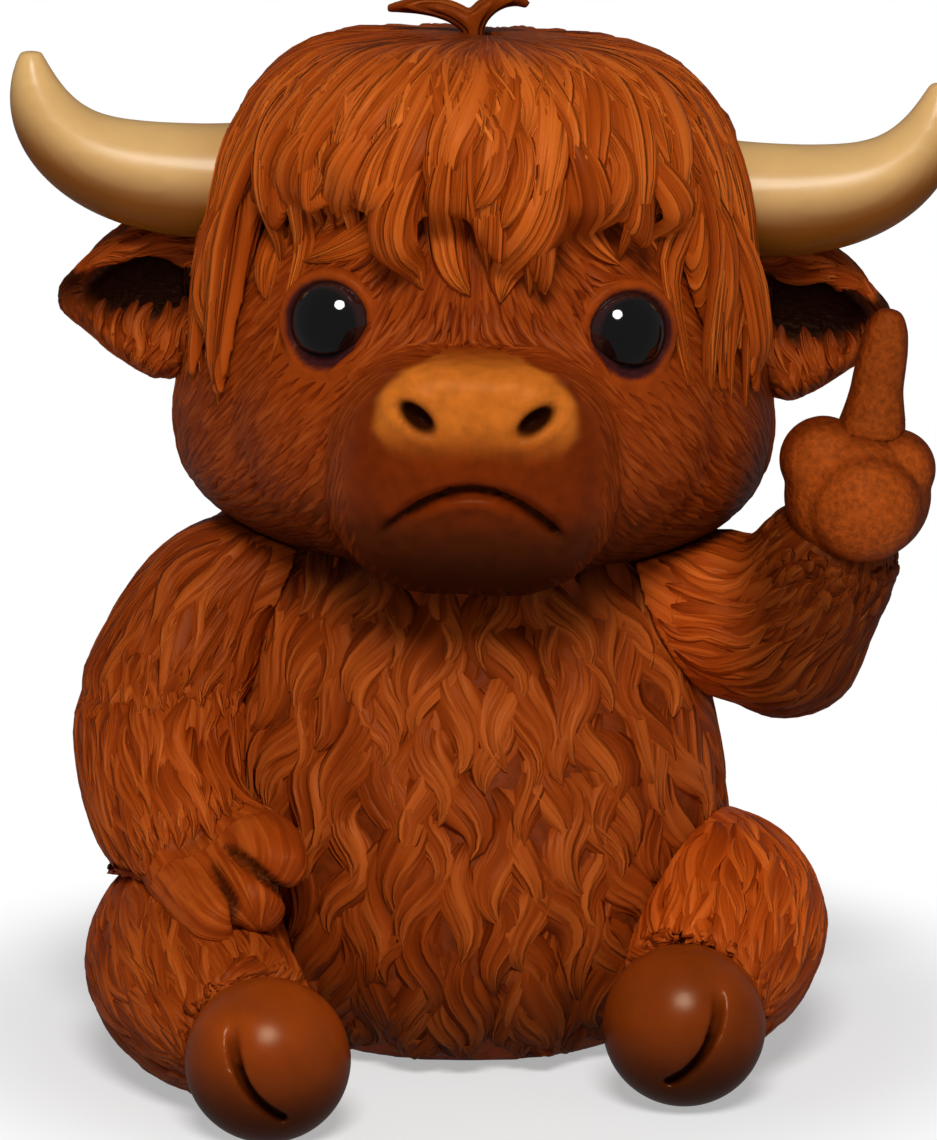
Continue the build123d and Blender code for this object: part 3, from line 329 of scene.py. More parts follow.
# Plain paint: detail of the grain, its stops and its bump, and the gloss of castings without one of their own
GRAIN_DETAIL, GRAIN_STOPS, GRAIN_BUMP, PAINT_SPECULAR = 4.0, (0.3, 0.7), 0.5, 0.09

# Share of the fur's colour on the skin under the locks, a darker undercoat that is also painted shade in the
# gaps between them
UNDERCOAT = 0.6

# Locks on a surface: start of a ray above it, tries to a spot, room it needs, share of the next normals
RAY_START, TRIES, HEADROOM, NEXT_NORMALS = 0.4, 7, 3.0, 0.6

# What each corner of a lock knows
LOCK_MARKS = ("across", "along", "tone", "ridge", "shade")

# Lock section: roundness, lean to one side, depth of the strand grooves and how far its edges sink in
LOCK_ROUNDNESS, LOCK_LEAN, LOCK_GROOVE, LOCK_TWIST, LOCK_SINK = 2.6, 0.35, 0.2, 1.5, 0.3

# Least height of a lock above the floor
LOCK_FLOOR = 0.05

# Lock outline: share of the length, of the width and of the height
LOCK_STATIONS = (0.0, 0.12, 0.3, 0.5, 0.7, 0.85, 0.95, 1.0)
LOCK_WIDTHS = (0.45, 0.72, 0.95, 1.0, 0.84, 0.55, 0.26, 0.03)
LOCK_HEIGHTS = (0.0, 0.4, 0.8, 1.0, 1.0, 0.8, 0.45, 0.05)
FRINGE_WIDTHS = (0.28, 0.5, 0.82, 1.0, 0.95, 0.66, 0.32, 0.03)


def length(name, description, millimetres):
    return FloatProperty(name=name, description=description, default=millimetres * MM, unit="LENGTH")


def colour(name, description, value):
    return FloatVectorProperty(name=name, description=description, subtype="COLOR", size=3, default=value)


class CALF_FurSizes(bpy.types.PropertyGroup):
    """Sizes of the carved locks."""

    chest_length: length("Chest lock length", "Length of a lock on the body", 14.0)
    chest_width: length("Chest lock width", "Width of a lock on the body", 5.6)
    chest_height: length("Chest lock relief", "Height of a lock on the body", 0.85)
    limb_length: length("Limb lock length", "Length of a lock on arms and legs", 11.0)
    limb_width: length("Limb lock width", "Width of a lock on arms and legs", 2.6)
    limb_height: length("Limb lock relief", "Height of a lock on arms and legs", 0.42)
    face_length: length("Face hair length", "Length of a short hair on the face", 5.0)
    face_width: length("Face hair width", "Width of a short hair on the face", 0.9)
    fringe_width: length("Fringe lock width", "Width of a lock of the fringe", 5.4)
    fringe_height: length("Fringe lock relief", "Height of a lock of the fringe", 1.2)


class CALF_Paint(bpy.types.PropertyGroup):
    """Colours of the painted castings."""

    # Fur colours: the recess colour is a dark wash that is also painted shade, the ridge colour a brushed
    # light that is also painted highlight
    fur_dark: colour("Fur recess", "Colour between the locks", (0.10, 0.0095, 0.0004))
    fur_mid: colour("Fur", "Main colour of the fur", (0.265, 0.038, 0.003))
    fur_light: colour("Fur ridge", "Brushed colour of the ridges", (0.47, 0.096, 0.013))
    nose: colour("Nose", "Colour of the nose pad", (0.52, 0.132, 0.013))
    muzzle: colour("Muzzle", "Colour round the mouth", (0.158, 0.019, 0.001))
    # Painted shade under the chin and on the throat; the same brown, darker, also paints the mouth line and
    # the nostrils
    chin: colour("Chin", "Dark colour under the mouth", (0.054, 0.0095, 0.0015))
    lid: colour("Lid", "Plum colour of the eyelids", (0.036, 0.007, 0.0075))
    ear_cup: colour("Ear cup", "Dark colour in the ears", (0.02, 0.003, 0.001))
    horn: colour("Horn", "Colour of the horns", (0.68, 0.41, 0.155))
    # Painted shade on the horns' underside and at their roots
    horn_shade: colour("Horn shade", "Colour of the horns' underside", (0.19, 0.055, 0.004))
    hoof: colour("Hoof", "Colour of the hooves", (0.265, 0.041, 0.003))
    eye: colour("Eye", "Colour of the eyes", (0.002, 0.0015, 0.0015))
    iris: colour("Iris", "Dark ring round the eyes", (0.022, 0.006, 0.005))


class CALF_Stage(bpy.types.PropertyGroup):
    """Camera and light."""

    distance: length("Distance", "From the camera to the middle of the ornament", 520.0)
    aim: length("Aim height", "Height that the camera looks at", 46.7)
    elevation: FloatProperty(
        name="Elevation", description="Camera above the horizon", default=math.radians(12), subtype="ANGLE"
    )
    lens: FloatProperty(name="Lens", description="Focal length of the camera in millimetres", default=164.2)
    key_power: FloatProperty(name="Key", description="Power of the soft light above the camera", default=3.4)
    fill_power: FloatProperty(name="Fill", description="Power of the weak side lights", default=0.4)


def smoothstep(low, high, values):
    share = np.clip((values - low) / (high - low), 0, 1)
    return share * share * (3 - 2 * share)


def bell(values, middle, spread):
    return np.exp(-(((values - middle) / spread) ** 2))


def deselect():
    bpy.ops.object.select_all(action="DESELECT")


def node_copy(node, name):
    """A copy of a CAD node, joined at its doubled corners and free of the node's tags."""
    deselect()
    source = frame["nodes"][node]
    source.select_set(True)
    bpy.context.view_layer.objects.active = source
    bpy.ops.object.duplicate()
    piece = bpy.context.object
    piece.name = piece.data.name = name
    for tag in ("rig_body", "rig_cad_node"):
        del piece[tag]
    bpy.ops.object.parent_clear(type="CLEAR_KEEP_TRANSFORM")
    bpy.ops.object.mode_set(mode="EDIT")
    bpy.ops.mesh.select_all(action="SELECT")
    bpy.ops.mesh.remove_doubles(threshold=1e-6)
    bpy.ops.object.mode_set(mode="OBJECT")
    piece.data.materials.clear()
    return piece


def apply_modifier(piece, kind, **settings):
    deselect()
    piece.select_set(True)
    bpy.context.view_layer.objects.active = piece
    bpy.ops.object.modifier_add(type=kind)
    step = piece.modifiers[-1]
    for key, value in settings.items():
        setattr(step, key, value)
    bpy.ops.object.modifier_apply(modifier=step.name)


def skin_of(node, material, voxel=0.5, turns=6, inset=0.0, balls=()):
    """A softened copy of a CAD node that stands for it, even enough to be carved and painted by vertex."""
    piece = node_copy(node, node + "_skin")
    added = []
    for *place, radius in balls:
        bpy.ops.mesh.primitive_uv_sphere_add(radius=radius * MM, location=Vector(place) * MM)
        added.append(bpy.context.object)
    if added:
        for thing in (*added, piece):
            thing.select_set(True)
        bpy.context.view_layer.objects.active = piece
        bpy.ops.object.join()
    apply_modifier(piece, "REMESH", mode="VOXEL", voxel_size=voxel * MM, use_smooth_shade=True)
    apply_modifier(piece, "SMOOTH", factor=0.5, iterations=turns)
    if inset:
        apply_modifier(piece, "DISPLACE", strength=-inset * MM, mid_level=0.0)
    piece.data.materials.append(finish(material))
    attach(piece, "root")
    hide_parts(node)
    return piece


def soften(piece, where, turns, name):
    """Even out the corners where the mask is true."""
    piece.vertex_groups.new(name=name).add(np.flatnonzero(where).tolist(), 1.0, "REPLACE")
    apply_modifier(piece, "SMOOTH", factor=0.5, iterations=turns, vertex_group=name)


def points_of(piece):
    """Corners in millimetres and their normals."""
    mesh = piece.data
    points, normals = (np.empty(len(mesh.vertices) * 3) for _ in range(2))
    mesh.vertices.foreach_get("co", points)
    mesh.vertices.foreach_get("normal", normals)
    return points.reshape(-1, 3) / MM, normals.reshape(-1, 3)


def move_points(piece, points):
    piece.data.vertices.foreach_set("co", (points * MM).ravel())
    piece.data.update()


def coat(piece, colours):
    """Paint by corner, an array of red, green and blue."""
    layer = piece.data.attributes.new("coat", "FLOAT_COLOR", "POINT")
    layer.data.foreach_set("color", np.column_stack([colours, np.ones(len(colours))]).ravel())


def flood(points, value):
    """One colour for all points."""
    return np.tile(np.array(value), (len(points), 1))


def blend(colours, mask, other):
    """Colours with another colour laid over them where the mask is high."""
    return colours + (np.asarray(other) - colours) * mask[:, None]


def hollows(piece, turns):
    """How far each corner lies below the evened-out surface, in millimetres."""
    points, normals = points_of(piece)
    ends = np.empty(len(piece.data.edges) * 2, dtype=np.int32)
    piece.data.edges.foreach_get("vertices", ends)
    first, second = ends[::2], ends[1::2]
    total = len(points)
    count = np.maximum(np.bincount(ends, minlength=total), 1)
    soft = points
    for _ in range(turns):
        sums = [np.bincount(first, s[second], total) + np.bincount(second, s[first], total) for s in soft.T]
        soft = (np.array(sums) / count).T
    return ((soft - points) * normals).sum(axis=1)


def even(row):
    """A row of points with its kinks taken out."""
    row = np.array(row)
    row[1:-1] = (row[:-2] + 2 * row[1:-1] + row[2:]) / 4
    return row


class Ground:
    """The surface that locks are combed over, in millimetres."""

    def __init__(self, thing):
        mesh = thing.data
        mesh.calc_loop_triangles()
        self.corners, _ = points_of(thing)
        triangles = np.empty(len(mesh.loop_triangles) * 3, dtype=np.int32)
        mesh.loop_triangles.foreach_get("vertices", triangles)
        self.triangles = triangles.reshape(-1, 3)
        self.tree = BVHTree.FromPolygons(self.corners.tolist(), self.triangles.tolist())

    def outer(self, spot, normal, reach):
        """True if nothing of the ground lies in front of the spot."""
        way = Vector(normal)
        return self.tree.ray_cast(Vector(spot) + way * RAY_START, way, reach)[0] is None

    def inside(self, spot, depth):
        """True if the spot lies deeper than that inside the ground."""
        near, normal, _, _ = self.tree.find_nearest(spot)
        return (Vector(spot) - near).dot(normal) < -depth

    def scatter(self, spacing, rng, keep, reach=HEADROOM):
        """Spots at least a spacing apart where keep(points, normals) is true."""
        a, b, c = (self.corners[self.triangles[:, k]] for k in range(3))
        cross = np.cross(b - a, c - a)
        area = np.linalg.norm(cross, axis=1) / 2
        count = int(area.sum() / spacing**2 * TRIES)
        pick = rng.choice(len(area), count, p=area / area.sum())
        first, second = rng.random(count), rng.random(count)
        flip = first + second > 1
        first[flip], second[flip] = 1 - first[flip], 1 - second[flip]
        points = a[pick] + first[:, None] * (b - a)[pick] + second[:, None] * (c - a)[pick]
        normals = cross[pick] / np.maximum(2 * area[pick], 1e-9)[:, None]
        wanted = keep(points, normals)
        cells, chosen = {}, []
        for point, normal in zip(points[wanted], normals[wanted]):
            x, y, z = np.floor(point / spacing).astype(int)
            near = [
                other
                for i in (x - 1, x, x + 1)
                for j in (y - 1, y, y + 1)
                for k in (z - 1, z, z + 1)
                for other in cells.get((i, j, k), ())
            ]
            clear = all(((point - other) ** 2).sum() > spacing**2 for other in near)
            if clear and self.outer(point, normal, reach):
                cells.setdefault((x, y, z), []).append(point)
                chosen.append(Vector(point))
        return chosen

    def comb(self, start, heading, reach, steps, sway, phase):
        """A path over the ground from start along heading(spot), swaying from side to side."""
        spot, normal, _, _ = self.tree.find_nearest(start)
        path, normals = [spot], [normal]
        for k in range(steps):
            way = heading(spot)
            way = (way - normal * way.dot(normal)).normalized()
            turn = sway * math.cos(math.tau * k / steps + phase)
            way = way * math.cos(turn) + normal.cross(way) * math.sin(turn)
            spot, normal, _, _ = self.tree.find_nearest(spot + way * reach / steps)
            path.append(spot)
            normals.append(normal)
        return even(path), even(normals)


class Fur:
    """Locks gathered into one mesh; every corner knows its place on its lock."""

    def __init__(self, rng):
        self.rng = rng
        self.corners, self.faces, self.places, self.count = [], [], [], 0

    def lay(self, path, normals, width, height, lift, columns=11, widths=LOCK_WIDTHS, strands=3.0):
        """One lock along a path: a grooved strip whose edges sink in and whose tip stands up."""
        rows = len(path)
        along = np.linspace(0, 1, rows)
        ups = normals.copy()
        ups[1:-1] += (normals[:-2] + normals[2:]) * NEXT_NORMALS
        ways = np.gradient(path, axis=0)
        sides = np.cross(ups, ways)
        sides /= np.maximum(np.linalg.norm(sides, axis=1), 1e-9)[:, None]
        ups = np.cross(ways, sides)
        ups /= np.maximum(np.linalg.norm(ups, axis=1), 1e-9)[:, None]
        half = np.interp(along, LOCK_STATIONS, widths) * width / 2
        tall = np.interp(along, LOCK_STATIONS, LOCK_HEIGHTS) * height
        across = np.linspace(-1, 1, columns)
        lean = self.rng.uniform(-LOCK_LEAN, LOCK_LEAN)
        dome = 1 - np.abs(np.clip(across - lean * (1 - across**2), -1, 1)) ** LOCK_ROUNDNESS
        turn = math.pi * strands * across[None] + LOCK_TWIST * along[:, None] + self.rng.uniform(0, math.tau)
        groove = 1 - LOCK_GROOVE + LOCK_GROOVE * np.cos(turn)
        rise = tall[:, None] * dome * groove - (lift + LOCK_SINK * height) * np.abs(across) ** 3
        rise += lift * (along**2)[:, None]
        spread = sides[:, None] * (half[:, None] * across)[..., None]
        grid = path[:, None] + spread + ups[:, None] * rise[..., None]
        first = self.count + np.arange((rows - 1) * columns).reshape(rows - 1, columns)[:, :-1]
        corners = (first, first + columns, first + columns + 1, first + 1)
        self.corners.append(grid.reshape(-1, 3))
        self.faces.append(np.stack(corners, axis=-1).reshape(-1, 4))
        u, v = np.meshgrid((across + 1) / 2, along)
        # Ridge: high on the lock's crown and towards its tip, low at its edges and root, where the fur's
        # paint darkens as painted shade
        ridge = dome * groove * np.sqrt(along)[:, None]
        tone = np.full(u.shape, self.rng.random())
        self.places.append(np.stack([u, v, tone, ridge], axis=-1).reshape(-1, 4))
        self.count += rows * columns

    def piece(self, name, material, shade=None):
        """The locks as one piece."""
        corners, faces, places = (np.concatenate(rows) for rows in (self.corners, self.faces, self.places))
        corners[:, 2] = np.maximum(corners[:, 2], LOCK_FLOOR)
        mesh = bpy.data.meshes.new(name)
        mesh.from_pydata((corners * MM).tolist(), [], faces.tolist())
        mark(mesh, places, np.ones(len(corners)) if shade is None else shade(corners))
        mesh.shade_smooth()
        mesh.materials.append(finish(material))
        thing = bpy.data.objects.new(name, mesh)
        bpy.context.collection.objects.link(thing)
        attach(thing, "root")


def mark(mesh, places, shade):
    """Store each corner's place across and along its lock, the lock's tone, the ridge and a painted shade."""
    for key, values in zip(LOCK_MARKS, (*places.T, shade)):
        layer = mesh.attributes.new(key, "FLOAT", "POINT")
        layer.data.foreach_set("value", np.ascontiguousarray(values, dtype=np.float32))


def along_route(route):
    """A heading along a limb's middle line, and the share of the line that a spot is at."""
    points = [Vector(p) for p in route]
    legs = [after - before for before, after in zip(points, points[1:])]

    def place(spot):
        best = None
        for k, leg in enumerate(legs):
            share = max(0.0, min(1.0, (spot - points[k]).dot(leg) / leg.length_squared))
            gap = (points[k] + leg * share - spot).length
            if best is None or gap < best[0]:
                best = (gap, k, share)
        return best[1:]

    def heading(spot):
        k, share = place(spot)
        after = legs[min(k + 1, len(legs) - 1)]
        return legs[k].normalized().lerp(after.normalized(), share * TURN_AHEAD)

    def share_at(spot):
        k, share = place(spot)
        return (k + share) / len(legs)

    return heading, share_at


def route_places(points, route, front):
    """Share along a limb's middle line and turn round it from the front, for an array of points."""
    route = np.array(route)
    gaps, shares, turns = [], [], []
    for start, leg in zip(route, np.diff(route, axis=0)):
        share = np.clip((points - start) @ leg / (leg @ leg), 0, 1)
        out = points - start - share[:, None] * leg
        right = np.cross(leg, front)
        ahead = np.cross(right, leg)
        gaps.append((out**2).sum(axis=1))
        shares.append(share)
        turns.append(np.arctan2(out @ right / np.linalg.norm(right), out @ ahead / np.linalg.norm(ahead)))
    nearest = np.argmin(gaps, axis=0)
    pick = (nearest, np.arange(len(points)))
    return (nearest + np.array(shares)[pick]) / len(gaps), np.array(turns)[pick]


def upright(points):
    """Points on the leaning head, as if the head stood upright."""
    back = np.array(LEAN.inverted())
    return points @ back[:3, :3].T + back[:3, 3]


def eye_gap(points, node):
    """Distance of points from an eye's axis, large behind the face."""
    low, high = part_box(node)
    centre = np.array((low + high) / 2) / MM
    side = 1 if centre[0] > 0 else -1
    axis = np.array((side * math.sin(EYE_TURN), -math.cos(EYE_TURN), 0))
    away = points - centre
    depth = away @ axis
    gap = np.linalg.norm(away - depth[:, None] * axis, axis=1)
    return np.where(np.abs(depth) < EYE_DEPTH, gap, FAR)


def muzzle_ring(x, z, half, middle, tall):
    """1 on a squarish ring round the muzzle, less inside it."""
    power = MUZZLE_SQUARENESS
    return (np.abs(x / half) ** power + np.abs((z - middle) / tall) ** power) ** (1 / power)


def finish(name):
    return bpy.data.materials[name + "_finish"]


def new_material(name):
    material = bpy.data.materials.new(name + "_finish")
    material.use_nodes = True
    nodes = material.node_tree.nodes
    nodes.clear()
    output = nodes.new("ShaderNodeOutputMaterial")
    shader = nodes.new("ShaderNodeBsdfPrincipled")
    material.node_tree.links.new(shader.outputs[0], output.inputs[0])
    return nodes, material.node_tree.links, shader


def add_math(nodes, links, operation, first, second):
    step = nodes.new("ShaderNodeMath")
    step.operation = operation
    for socket, value in zip(step.inputs, (first, second)):
        if isinstance(value, (int, float)):
            socket.default_value = value
        else:
            links.new(value, socket)
    return step.outputs[0]


def add_noise(nodes, links, where, scale, detail):
    noise = nodes.new("ShaderNodeTexNoise")
    noise.inputs["Scale"].default_value = scale
    noise.inputs["Detail"].default_value = detail
    links.new(where, noise.inputs["Vector"])
    return noise.outputs[0]


def add_range(nodes, links, value, ends, low=0.0):
    """A soft step from low to 1 between two values."""
    step = nodes.new("ShaderNodeMapRange")
    step.interpolation_type = "SMOOTHSTEP"
    step.inputs["From Min"].default_value, step.inputs["From Max"].default_value = ends
    step.inputs["To Min"].default_value = low
    links.new(value, step.inputs["Value"])
    return step.outputs["Result"]


def add_ramp(nodes, links, factor, stops):
    ramp = nodes.new("ShaderNodeValToRGB")
    elements = ramp.color_ramp.elements
    while len(elements) < len(stops):
        elements.new(0.5)
    for element, (position, value) in zip(elements, stops):
        element.position = position
        element.color = (*value, 1.0)
    links.new(factor, ramp.inputs[0])
    return ramp.outputs[0]


def add_tint(nodes, links, base, factor):
    """The base colour multiplied by a grey factor."""
    mix = nodes.new("ShaderNodeMix")
    mix.data_type = "RGBA"
    mix.blend_type = "MULTIPLY"
    mix.inputs["Factor"].default_value = 1.0
    links.new(base, mix.inputs["A"])
    links.new(factor, mix.inputs["B"])
    return mix.outputs["Result"]


def add_bump(nodes, links, shader, height, strength, distance):
    bump = nodes.new("ShaderNodeBump")
    bump.inputs["Strength"].default_value = strength
    bump.inputs["Distance"].default_value = distance
    links.new(height, bump.inputs["Height"])
    links.new(bump.outputs[0], shader.inputs["Normal"])


def attribute(nodes, name):
    node = nodes.new("ShaderNodeAttribute")
    node.attribute_name = name
    return node


def strand_material(name, streaks, relief, tint=(1.0, 1.0, 1.0)):
    """Painted fur: streaks along the lock, a dark wash in the seams that is also painted shade, and brushed
    light on the ridges that is also painted highlight.
    """
    paint = bpy.context.scene.calf_paint
    nodes, links, shader = new_material(name)
    across, along, tone, ridge = (attribute(nodes, key).outputs["Fac"] for key in LOCK_MARKS[:4])
    place = nodes.new("ShaderNodeCombineXYZ")
    links.new(add_math(nodes, links, "MULTIPLY", across, streaks), place.inputs[0])
    links.new(add_math(nodes, links, "MULTIPLY", along, STREAK_LENGTH), place.inputs[1])
    links.new(add_math(nodes, links, "MULTIPLY", tone, STREAK_SEED), place.inputs[2])
    streak = add_noise(nodes, links, place.outputs[0], scale=1.0, detail=2.0)
    streak = add_range(nodes, links, streak, STREAK_RANGE)
    level = add_math(nodes, links, "MULTIPLY", ridge, RIDGE_WEIGHT)
    for value, weight in ((streak, STREAK_WEIGHT), (tone, TONE_WEIGHT)):
        share = add_math(nodes, links, "MULTIPLY", value, weight)
        level = add_math(nodes, links, "ADD", level, share)
    stops = [
        (position, tuple(c * t for c, t in zip(value, tint)))
        for position, value in zip(FUR_STOPS, (paint.fur_dark, paint.fur_mid, paint.fur_light))
    ]
    brushed = add_ramp(nodes, links, level, stops)
    shade = attribute(nodes, "shade").outputs["Color"]
    links.new(add_tint(nodes, links, brushed, shade), shader.inputs["Base Color"])
    shader.inputs["Roughness"].default_value = FUR_ROUGHNESS
    shader.inputs["Specular IOR Level"].default_value = FUR_SPECULAR
    shader.inputs["Specular Tint"].default_value = WARM
    add_bump(nodes, links, shader, streak, 1.0, relief)


def coat_material(name, roughness, grain, relief, contrast=0.2, specular=PAINT_SPECULAR, gloss=WARM):
    """Paint that follows the piece's own coat, with a fine grain."""
    nodes, links, shader = new_material(name)
    where = nodes.new("ShaderNodeTexCoord").outputs["Object"]
    noise = add_noise(nodes, links, where, grain, GRAIN_DETAIL)
    greys = ((1 - contrast,) * 3, (1 + contrast * 0.5,) * 3)
    speckle = add_ramp(nodes, links, noise, tuple(zip(GRAIN_STOPS, greys)))
    painted = attribute(nodes, "coat").outputs["Color"]
    links.new(add_tint(nodes, links, painted, speckle), shader.inputs["Base Color"])
    shader.inputs["Roughness"].default_value = roughness
    shader.inputs["Specular IOR Level"].default_value = specular
    shader.inputs["Specular Tint"].default_value = gloss
    add_bump(nodes, links, shader, noise, GRAIN_BUMP, relief)


def plain_material(name, value, roughness, grain, relief, contrast=0.25, metallic=0.0):
    """A finish with a slight grain in the piece's own coordinates."""
    nodes, links, shader = new_material(name)
    where = nodes.new("ShaderNodeTexCoord").outputs["Object"]
    noise = add_noise(nodes, links, where, grain, GRAIN_DETAIL)
    low = tuple(c * (1 - contrast) for c in value)
    high = tuple(min(1.0, c * (1 + contrast)) for c in value)
    grained = add_ramp(nodes, links, noise, tuple(zip(GRAIN_STOPS, (low, high))))
    links.new(grained, shader.inputs["Base Color"])
    shader.inputs["Roughness"].default_value = roughness
    shader.inputs["Metallic"].default_value = metallic
    shader.inputs["Specular IOR Level"].default_value = PAINT_SPECULAR
    add_bump(nodes, links, shader, noise, GRAIN_BUMP, relief)


class CALF_OT_paint(bpy.types.Operator):
    """Mix the finishes and paint the castings that are carried over as they are"""

    bl_idname = "calf.paint"
    bl_label = "Paint"

    def execute(self, context):
        paint = context.scene.calf_paint
        strand_material("fur_body", streaks=4.5, relief=0.0004)
        strand_material("fur_limb", streaks=3.0, relief=0.0003, tint=LIMB_TINT)
        strand_material("fur_smooth", streaks=3.0, relief=0.0001, tint=LIMB_TINT)
        strand_material("fur_fine", streaks=1.5, relief=0.00005, tint=FINE_TINT)
        strand_material("fur_fringe", streaks=6.0, relief=0.0004, tint=FRINGE_TINT)
        # Skin under the body's locks: darker undercoat, also painted shade between the locks
        under = tuple(c * UNDERCOAT for c in paint.fur_mid)
        plain_material("fur_skin", under, roughness=0.5, grain=900.0, relief=0.0003)
        coat_material("face", roughness=0.4, grain=700.0, relief=0.00008)
        coat_material("rough_skin", roughness=0.5, grain=1500.0, relief=0.0006, contrast=0.35)
        coat_material("hoof", roughness=0.28, grain=220.0, relief=0.0001, specular=0.2, gloss=HOOF_GLOSS)
        coat_material(
            "horn", roughness=0.27, grain=160.0, relief=0.00004, contrast=0.08, specular=0.2, gloss=WHITE
        )
        coat_material("eye", roughness=0.05, grain=100.0, relief=0.0, contrast=0.0, specular=0.7, gloss=WHITE)
        plain_material("plug", (0.03, 0.03, 0.03), roughness=0.7, grain=400.0, relief=0.0001)
        plain_material("felt", (0.05, 0.02, 0.012), roughness=0.95, grain=2500.0, relief=0.0003)
        plain_material("dowel", (0.55, 0.36, 0.18), roughness=0.6, grain=500.0, relief=0.0001)
        steel = (0.6, 0.6, 0.62)
        plain_material("pin", steel, roughness=0.35, grain=800.0, relief=0.00002, contrast=0.1, metallic=1.0)
        for name, nodes in (
            ("plug", ("base_plug",)),
            ("felt", ("base_felt",)),
            ("dowel", ("neck_dowel", "arm_dowels", "leg_dowels")),
            ("pin", ("horn_pins", "hoof_pins", "hand_pin", "finger_pin")),
        ):
            for node in nodes:
                mesh = frame["nodes"][node].data
                mesh.materials.clear()
                mesh.materials.append(finish(name))
        return {"FINISHED"}


class CALF_OT_body(bpy.types.Operator):
    """Comb the chest, belly and back with rows of pointed locks"""

    bl_idname = "calf.body"
    bl_label = "Body fur"

    def execute(self, context):
        sizes = context.scene.calf_fur
        rng = np.random.default_rng(SEEDS["body"])
        ground = Ground(skin_of("torso", "fur_skin", voxel=0.8, turns=3, inset=0.55))
        limbs = [Ground(frame["nodes"][n]) for n in ("resting_arm", "raised_arm", "left_leg", "right_leg")]
        reach, width, height = (s / MM for s in (sizes.chest_length, sizes.chest_width, sizes.chest_height))
        fur = Fur(rng)

        def lock(spot, size, sway):
            run = min(reach * size, max(FUR_SHORTEST, spot.z - FUR_FLOOR_GAP))
            phase = rng.uniform(-FUR_PHASE, FUR_PHASE)
            path, normals = ground.comb(spot, downward, run, FUR_STEPS, sway, phase)
            fur.lay(path, normals, width * size, height * size, FUR_LIFT)

        def downward(spot):
            return Vector((spot.x * FUR_SPREAD, 0.0, -1.0))

        def shade(points):
            # Painted shadow under the chin on the front, and painted shade that darkens towards the seat
            chin_shadow = smoothstep(*CHIN_SHADE, points[:, 2]) * (1 - CHIN_SHADOW_DARK) + CHIN_SHADOW_DARK
            front = smoothstep(*FRONT_SHADE, points[:, 1])
            seat = SEAT_DARK + (1 - SEAT_DARK) * smoothstep(*SEAT_SHADE, points[:, 2])
            return (chin_shadow * front + (1 - front)) * seat

        for row in range(FUR_ROWS):
            for column in range(FUR_LOCKS_ROUND):
                place = column + row % 2 / 2 + rng.uniform(-FUR_SHUFFLE_ROUND, FUR_SHUFFLE_ROUND)
                turn = math.tau * place / FUR_LOCKS_ROUND
                way = Vector((math.sin(turn), -math.cos(turn), 0))
                level = FUR_FIRST_ROW + FUR_ROW_STEP * row + rng.uniform(-FUR_SHUFFLE_UP, FUR_SHUFFLE_UP)
                root = ground.tree.ray_cast(Vector((0, 0, level)) + way * OUTSIDE, -way)[0]
                if root and not any(limb.inside(root, FUR_BURIED) for limb in limbs):
                    sway = rng.uniform(*FUR_SWAYS) * (1 if (row + column) % 2 else -1)
                    lock(root, rng.uniform(*FUR_SIZES), sway)
        fur.piece("body_fur", "fur_body", shade)
        return {"FINISHED"}


def sleeve_level(across, depth):
    """Height of the wavy line on the resting arm where the upper arm's fur ends."""
    return SLEEVE_LEVEL - SLEEVE_SLOPE * depth + SLEEVE_WAVE * np.sin(across * SLEEVE_WAVINESS)


def limb_shade(node, points):
    """Painted light and shade of a limb, by height, and on the raised arm painted shade, darker to the front
    of the hand.
    """
    x, y, z = points.T
    if node == "raised_arm":
        return RAISED_LIGHT - RAISED_DARKER * smoothstep(*RAISED_ACROSS, x) * smoothstep(*RAISED_DEEP, y)
    dark, added, levels = LIMB_SHADES[node]
    return dark + added * smoothstep(*levels, z)


